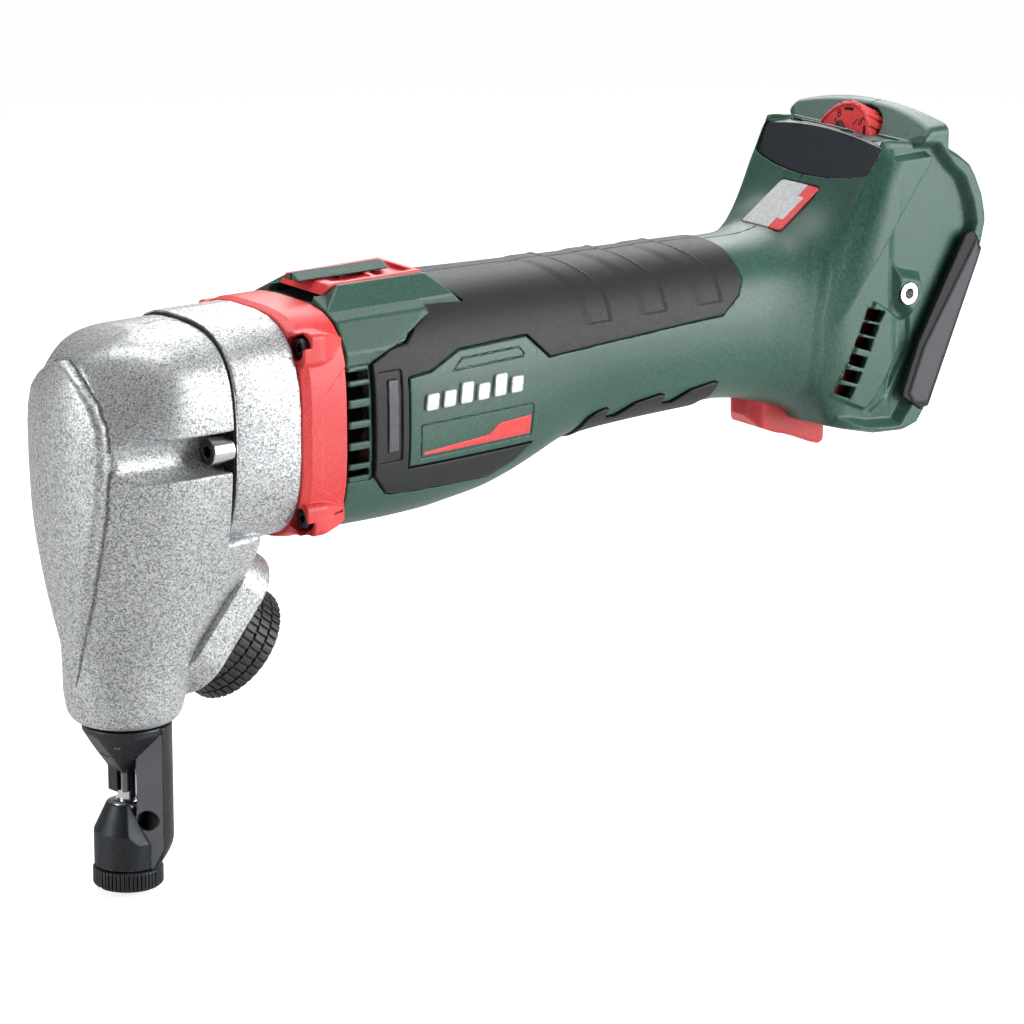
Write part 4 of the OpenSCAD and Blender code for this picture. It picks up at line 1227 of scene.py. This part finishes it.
for name, field, step, material in (("speed_dial", speed_dial, 0.36, "red_plastic"),
                                    ("dial_pointer", dial_pointer, 0.3, "black_plastic"),
                                    ("dial_marks", dial_marks, 0.13, "shadow_gap")):
    add(name + "_visual", field, *DIAL_BOX, step, [material], "speed_dial", body="dial_unit")


# ------------------------------------------------------------------ dial cover and badge
def dial_lens(x, y, z):
    up, side, out = at_dial(x, y, z)
    shape = meet(lens_outline(up, side), out - (9.6 - 0.0022 * side * side), 0.6)
    return meet(shape, 7.5 - 0.0022 * side * side - out, 0.2)


def dial_plate(x, y, z):
    up, side, out = at_dial(x, y, z)
    shape = meet(z - (69 - 0.0030 * y * y - (x - 304) * 0.10), np.abs(y) - 31.9, 0.8)
    shape = meet(shape, x - 316.6, 0.6)
    shape = meet(shape, 66.5 - 0.0030 * y * y - z, 0.3)
    shape = meet(shape, out - 9.2 + 0.0022 * side * side, 0.4)
    shape = cut(shape, meet(radius(up, side) - 16.2, span(out, -12, 1.6), 0.3), 0.4)
    window = meet(rect(x - 310.2, y + 25.6, 2.4, 2.7, 0.4), 65.2 - z, 0.2)
    return cut(shape, window, 0.3)


def charge_window(x, y, z):
    return box(x, y, z, (310.2, -25.6, 65.1), (2.3, 2.6, 0.75), 0.3)


plastic("lens_cover", (30, 33, 38), (40, 44, 51), (64, 69, 78), rough=(0.3, 0.42),
        grain=1500.0, bump=0.00003, edge_tint=0.5)
add("dial_lens_visual", dial_lens, (286, -36, 42), (312, 36, 74), 0.42, ["lens_cover"],
    "dial_cover")
add("dial_plate_visual", dial_plate, (298, -34, 60), (320, 34, 72), 0.4, ["black_plastic"],
    "dial_cover")
add("charge_window_visual", charge_window, (306, -30, 63), (314, -21, 67), 0.25,
    ["shadow_gap"], "led_window")


def badge_step(up):
    """side coordinate of the stepped edge between silver and red"""
    return np.where(up > 5.5, -5.6, np.where(up < -6.5, -5.6, -9.0))


def badge(x, y, z):
    up, side, out = at_badge(x, y, z)
    shape = meet(rect(up, side + 1.4, 11.6, 10.8, 1.4), out - (0.25 - 0.0022 * side * side),
                 0.35)
    shape = meet(shape, -0.85 - out, 0.1)
    line = np.abs(side - badge_step(up)) - 0.16
    return cut(shape, meet(line, -0.1 - out, 0.1), 0.15)


def badge_red(x, y, z, normals):
    up, side, _ = at_badge(x, y, z)
    return side < badge_step(up)


add("badge_visual", badge, (268, -14, 33), (300, 14, 56), 0.3,
    ["badge_silver", "red_plastic"], "badge", pick=badge_red)


# ------------------------------------------------------------------ other parts of the foot
def bumpers(x, y, z):
    abs_y = np.abs(y)
    face = polygon(x, z, BUMPER_FACE)
    shape = meet(polygon(x, z, BUMPER), abs_y - 39, 0.7)
    raised = meet(meet(face, abs_y - 39.9, 0.5), face * 0.6 + (abs_y - 39.3) * 0.8, 0.4)
    return meet(join(shape, raised, 0.3), 36.9 - abs_y, 0.3)


def bumper_face(x, y, z, normals):
    return polygon(x, z, BUMPER_FACE) < -0.1


plastic("bumper_rubber", (44, 46, 50), (62, 64, 69), (86, 89, 95), rough=(0.5, 0.62),
        grain=1400.0, bump=0.00004, edge_tint=0.3)
add("bumper_visual", bumpers, (309, -41, -34), (351, 41, 34), 0.46,
    ["seal_rubber", "bumper_rubber"], "foot_bumpers", pick=bumper_face)

DUCT_PANEL = [(280, -25), (292, -25), (303, -4), (307.5, 10.5), (294, 11.5)]    # (x, z)
DUCT_CENTRE = (296, 0, -5.7)


def air_duct(x, y, z):
    """panels behind the rear vents, and the cross duct"""
    panels = meet(polygon(x, z, DUCT_PANEL) - 0.4, np.abs(np.abs(y) - 29.6) - 0.8, 0.4)
    duct = box(x, y, z, DUCT_CENTRE, (7.9, 21.9, 13.6), 0.8)
    duct = cut(duct, box(x, y, z, DUCT_CENTRE, (9, 19.8, 11.5), 0.6), 0.3)
    return np.minimum(panels, duct)


plastic("duct_red", (92, 10, 12), (120, 16, 18), (150, 30, 30), rough=(0.5, 0.6), edge_tint=0.1)
add("air_duct_visual", air_duct, (278, -32, -27), (309, 32, 13), 0.6, ["duct_red"],
    "air_duct")

BUTTON_SIDE = [(268, -25), (266.4, -33), (270, -37.2), (284, -42.8), (297, -47), (300, -46),
               (301.6, -40), (296, -30), (290, -24)]    # (x, z)


def release_button(x, y, z):
    shape = meet(polygon(x, z, BUTTON_SIDE) - 0.4, np.abs(y) - 9.3, 1.3)
    shape = meet(shape, radius(x - 284.5, y * 1.35) - 19, 1)
    thumb = 26 - np.sqrt((x - 276) ** 2 + (z + 66.8) ** 2 + (y * 0.35) ** 2)
    return meet(shape, thumb, 1)


add("release_button_visual", release_button, (258, -11, -50), (305, 11, -21), 0.4,
    ["red_plastic"], "release_button", body="release_unit")

# ------------------------------------------------------------------ lock knob
KNOB_RADIUS = 21.3
KNOB_BLOCKS = 45      # raised blocks round each row
KNOB_ROW = 4.9        # height of one of the three rows


def lock_knob(x, y, z):
    up, side, out = at_knob(x, y, z)
    r = radius(up, side)
    angle = np.arctan2(side, up)
    row = np.clip(np.floor((out + 15.2) / KNOB_ROW), 0, 2)
    in_row = (out + 15.2) - row * KNOB_ROW
    # every second row is shifted by half a block
    phase = (angle * KNOB_BLOCKS / math.tau + 0.5 * row) % 1.0
    arc = np.abs(phase - 0.5) * math.tau * r / KNOB_BLOCKS
    pitch = math.tau * KNOB_RADIUS / KNOB_BLOCKS
    to_row_edge = np.minimum(np.abs(in_row), np.abs(KNOB_ROW - in_row))
    grooves = np.minimum(pitch / 2 - arc - 0.42, to_row_edge - 0.32)
    shape = meet(r - KNOB_RADIUS, np.abs(out + 7.85) - 7.6, 0.9)
    shape = cut(shape, meet(grooves, 20.35 - r, 0.15), 0.25)
    # ring recess and centre hole in the outer face
    shape = cut(shape, meet(meet(r - 16.5, 6.5 - r, 0.6), -1.4 - out, 0.3), 0.6)
    return cut(shape, meet(r - 4, out + 2.4, 0.2), 0.2)


plastic("knob_black", (30, 31, 33), (46, 47, 50), (84, 86, 90), rough=(0.38, 0.5), edge_tint=0.6)
KNOB_REACH = 22.5
knob_corners = np.array([KNOB_CENTRE + KNOB_OUT * out + sign * KNOB_UP * KNOB_REACH
                         for out in (-16.5, 1.0) for sign in (-1, 1)])
knob_low, knob_high = knob_corners.min(0), knob_corners.max(0)
add("lock_knob_visual", lock_knob, (knob_low[0], -KNOB_REACH, knob_low[2]),
    (knob_high[0], KNOB_REACH, knob_high[2]), 0.34, ["knob_black"], "lock_knob",
    body="lock_unit")


# ------------------------------------------------------------------ die holder, die and nut
def die_holder(x, y, z):
    r = radius(x, y)
    # diagonal axes: towards the web, and across it
    to_web = (x - y) * 0.70711
    across = (x + y) * 0.70711
    shape = cylinder(x, y, z, 12.95, -103.0, -63.4, 0.4)
    shape = np.minimum(shape, cylinder(x, y, z, 14.9, -103.3, -101.65, 0.4))
    # cone with four flats
    cone = (r - np.interp(z, [-118.2, -103.6], [6.1, 14.8])) * 0.84
    cone = meet(cone, span(z, -118.4, -102.6), 0.3)
    square = np.maximum(np.abs(x), np.abs(y))
    flats = square - np.interp(z, [-117.6, -104.2], [4.5, 14])
    shape = np.minimum(shape, meet(cone, flats * 0.82, 0.15))
    # nose round the punch
    nose = box(to_web, across, z, (-2, 0, -121.6), (4.4, 5.2, 4.6), 0.3)
    nose = meet(nose, square - 4.75, 0.25)
    nose = meet(nose, -126 + 0.10 * (to_web + 4) - z, 0.3)
    shape = join(shape, nose, 0.4)
    # web down to the seat of the die
    web = meet(meet(4.7 - to_web, r - 15.9, 0.5), np.abs(across) - 6.6, 0.5)
    web = meet(web, span(z, -152.4, -101.7), 0.4)
    web = meet(web, (to_web - 15.9) * 0.88 - (z + 144) * 0.47, 1.5)
    shape = join(shape, web, 0.5)
    # die seat, with a flat at -y and one at +x beside the web
    seat = (r - np.interp(z, [-139.8, -130], [11.6, 7])) * 0.9
    seat = meet(seat, span(z, -152, -129.9), 0.4)
    seat = meet(seat, r - 11.6, 0.25)
    flat = np.interp(z, [-143, -130], [11.3, 5.9])
    seat = meet(seat, (-y - flat) * 0.92, 0.2)
    seat = meet(seat, np.where(np.abs(across) > 6.4, (x - flat) * 0.92, -5.0), 0.2)
    shape = join(shape, seat, 0.3)
    # bores for ram and punch
    shape = cut(shape, cylinder(x, y, z, 8.45, -112.6, -60, 0.2), 0.2)
    shape = cut(shape, cylinder(x, y, z, 3.45, -127.5, -111, 0.2), 0.2)
    # chip room between the nose and the web
    room = meet(rect(to_web - 3.6, z + 124.4, 1.15, 6.6, 1.1), np.abs(across) - 12, 0.2)
    shape = cut(shape, room, 0.3)
    # slots on both sides of the nose
    for sign in (-1, 1):
        slot = meet(np.abs(to_web + 1.3) - 0.95, span(z, -127.4, -118), 0.3)
        shape = cut(shape, meet(slot, 2 - sign * across, 0.1), 0.2)
    # bores for die and nut, and an oval hole at -y
    shape = cut(shape, cylinder(x, y, z, 6.05, -145, -128, 0.1), 0.15)
    shape = cut(shape, cylinder(x, y, z, 8.1, -155, -143.8, 0.1), 0.15)
    hole = meet(superellipse(x - 1.6, z + 134.8, 2.6, 3.4, 2.0), y + 2, 0.2)
    return cut(shape, hole, 0.4)


metal("black_oxide_steel", (58, 61, 64), rough=(0.36, 0.5), metallic=0.75, bump=0.00003,
      edge_tint=(128, 131, 134))
add("die_holder_visual", die_holder, (-17, -17, -156), (17, 17, -62), 0.34,
    ["black_oxide_steel"], "die_holder", body="die_unit")


def die(x, y, z):
    r = radius(x, y)
    shape = meet(r - 5.98, span(z, -143.7, -129), 0.5)
    shape = meet(shape, (r - 5.2) * 0.6 + (z + 129.3) * 0.8, 0.4)
    return cut(shape, r - 3.35, 0.25)


add("die_visual", die, (-7, -7, -145), (7, 7, -128), 0.26, ["bright_steel"], "die",
    body="die_unit")

NUT_RADIUS = 12.1


def die_nut(x, y, z):
    r = radius(x, y)
    rim = toothed(np.arctan2(y, x), NUT_RADIUS, 52, 0.62, 0.3)
    shape = meet((r - rim) * 0.9, span(z, -159.7, -152.5), 0.35)
    bevel = (r - NUT_RADIUS) * 0.64
    shape = meet(shape, bevel - (z + 158.6) * 0.77, 0.3)
    shape = meet(shape, bevel + (z + 153.1) * 0.77, 0.3)
    shape = np.minimum(shape, cylinder(x, y, z, 7.95, -153.5, -144.1, 0.3))
    # slug hole, and a driver slot across the underside
    shape = cut(shape, r - 4.6, 0.4)
    return cut(shape, meet(np.abs(y) - 1.3, z + 158.2, 0.2), 0.3)


add("die_nut_visual", die_nut, (-13, -13, -161), (13, 13, -143), 0.26,
    ["black_oxide_steel"], "die_nut", body="die_nut_unit")

# ------------------------------------------------------------------ camera, light, floor
CAMERA_AZIMUTH, CAMERA_ELEVATION = math.radians(-36.4), math.radians(15.0)
CAMERA_PLACE = (-856.3, -1382.7, 406.1)
# from the scene towards the camera
BACK = Vector((math.sin(CAMERA_AZIMUTH) * math.cos(CAMERA_ELEVATION),
               -math.cos(CAMERA_AZIMUTH) * math.cos(CAMERA_ELEVATION),
               math.sin(CAMERA_ELEVATION)))


def set_camera():
    right = Vector((math.cos(CAMERA_AZIMUTH), math.sin(CAMERA_AZIMUTH), 0.0))
    up = BACK.cross(right)
    camera = bpy.data.cameras.new("camera")
    holder = bpy.data.objects.new("camera", camera)
    bpy.context.collection.objects.link(holder)
    rows = [(right[i], up[i], BACK[i], 0) for i in range(3)]
    holder.matrix_world = Matrix((*rows, (0, 0, 0, 1)))
    holder.location = Vector(world(CAMERA_PLACE))
    camera.lens = 175.78125
    camera.sensor_width = 36.0
    camera.clip_end = 50.0
    bpy.context.scene.camera = holder


def set_world():
    """soft white room, darker round the camera so faces turned to it keep their depth"""
    studio = bpy.data.worlds.new("studio")
    bpy.context.scene.world = studio
    studio.use_nodes = True
    tree = studio.node_tree
    background = tree.nodes["Background"]
    coords = tree.nodes.new("ShaderNodeTexCoord")
    facing = tree.nodes.new("ShaderNodeVectorMath")
    facing.operation = "DOT_PRODUCT"
    facing.inputs[1].default_value = (BACK.x, BACK.y, BACK.z * 0.4)
    tree.links.new(coords.outputs["Generated"], facing.inputs[0])
    ramp = tree.nodes.new("ShaderNodeValToRGB")
    tree.links.new(facing.outputs["Value"], ramp.inputs[0])
    away, toward = ramp.color_ramp.elements
    away.position, away.color = 0.20, (0.85, 0.85, 0.86, 1)
    toward.position, toward.color = 0.80, (0.06, 0.06, 0.065, 1)
    tree.links.new(ramp.outputs[0], background.inputs[0])
    background.inputs[1].default_value = 0.26


# name, place and target in working mm, width and height in metres, watts
LIGHTS = [("key_right", (820, -820, 240), (120, 0, 0), 0.55, 0.9, 14.0),
          ("left_strip", (-1100, 260, 160), (20, 0, -20), 0.45, 1.0, 8.0),
          ("top_soft", (150, 100, 950), (120, 0, 0), 0.6, 0.6, 5.2),
          ("rear_rim", (700, 600, 500), (300, 0, 30), 0.5, 0.5, 4.5)]


def add_lights():
    for name, place, target, width, height, watts in LIGHTS:
        light = bpy.data.lights.new(name, "AREA")
        light.shape = "RECTANGLE"
        light.size = width
        light.size_y = height
        light.energy = watts
        holder = bpy.data.objects.new(name, light)
        bpy.context.collection.objects.link(holder)
        holder.location = Vector(world(place))
        aim = Vector(world(target)) - holder.location
        holder.rotation_euler = aim.to_track_quat("-Z", "Y").to_euler()


FLOOR_DROP = 0.002    # metres below the lowest point of the tool
FLOOR_HALF = 6.0
BEND_START, BEND_RADIUS = 1.6, 1.2


def add_floor():
    """floor that curves up into a backdrop, far behind the tool"""
    s = Shader("floor")
    tint = s.noise(scale=3.0, detail=3.0, rough=0.5)
    colour = s.mix((0.66, 0.66, 0.66, 1), (0.70, 0.70, 0.70, 1), tint)
    path = s.add("ShaderNodeLightPath")
    # bright to the camera, dim as a light source
    glow = s.map_range(path.outputs["Is Camera Ray"], (0.0, 1.0), (0.05, 0.80))
    s.finish(Base_Color=colour, Roughness=0.8, Emission_Color=(1.0, 1.0, 1.0, 1),
             Emission_Strength=glow)
    mesh = bpy.data.meshes.new("floor")
    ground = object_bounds()[0][2] - FLOOR_DROP
    profile = [(-FLOOR_HALF, 0.0), (BEND_START, 0.0)]
    profile += [(BEND_START + BEND_RADIUS * math.sin(t), BEND_RADIUS - BEND_RADIUS * math.cos(t))
                for t in np.linspace(0.1, 1.57, 12)]
    profile += [(2.8, 5.0)]
    length = math.hypot(BACK.x, BACK.y)
    away_x, away_y = -BACK.x / length, -BACK.y / length
    points = [(away_x * along + away_y * across, away_y * along - away_x * across,
               ground + height)
              for along, height in profile for across in (-FLOOR_HALF, FLOOR_HALF)]
    faces = [(2 * i, 2 * i + 1, 2 * i + 3, 2 * i + 2) for i in range(len(profile) - 1)]
    mesh.from_pydata(points, [], faces)
    mesh.materials.append(s.material)
    mesh.polygons.foreach_set("use_smooth", np.ones(len(faces), bool))
    floor = bpy.data.objects.new("floor", mesh)
    bpy.context.collection.objects.link(floor)


set_camera()
set_world()
add_lights()
add_floor()
bpy.context.scene.view_settings.view_transform = "Standard"
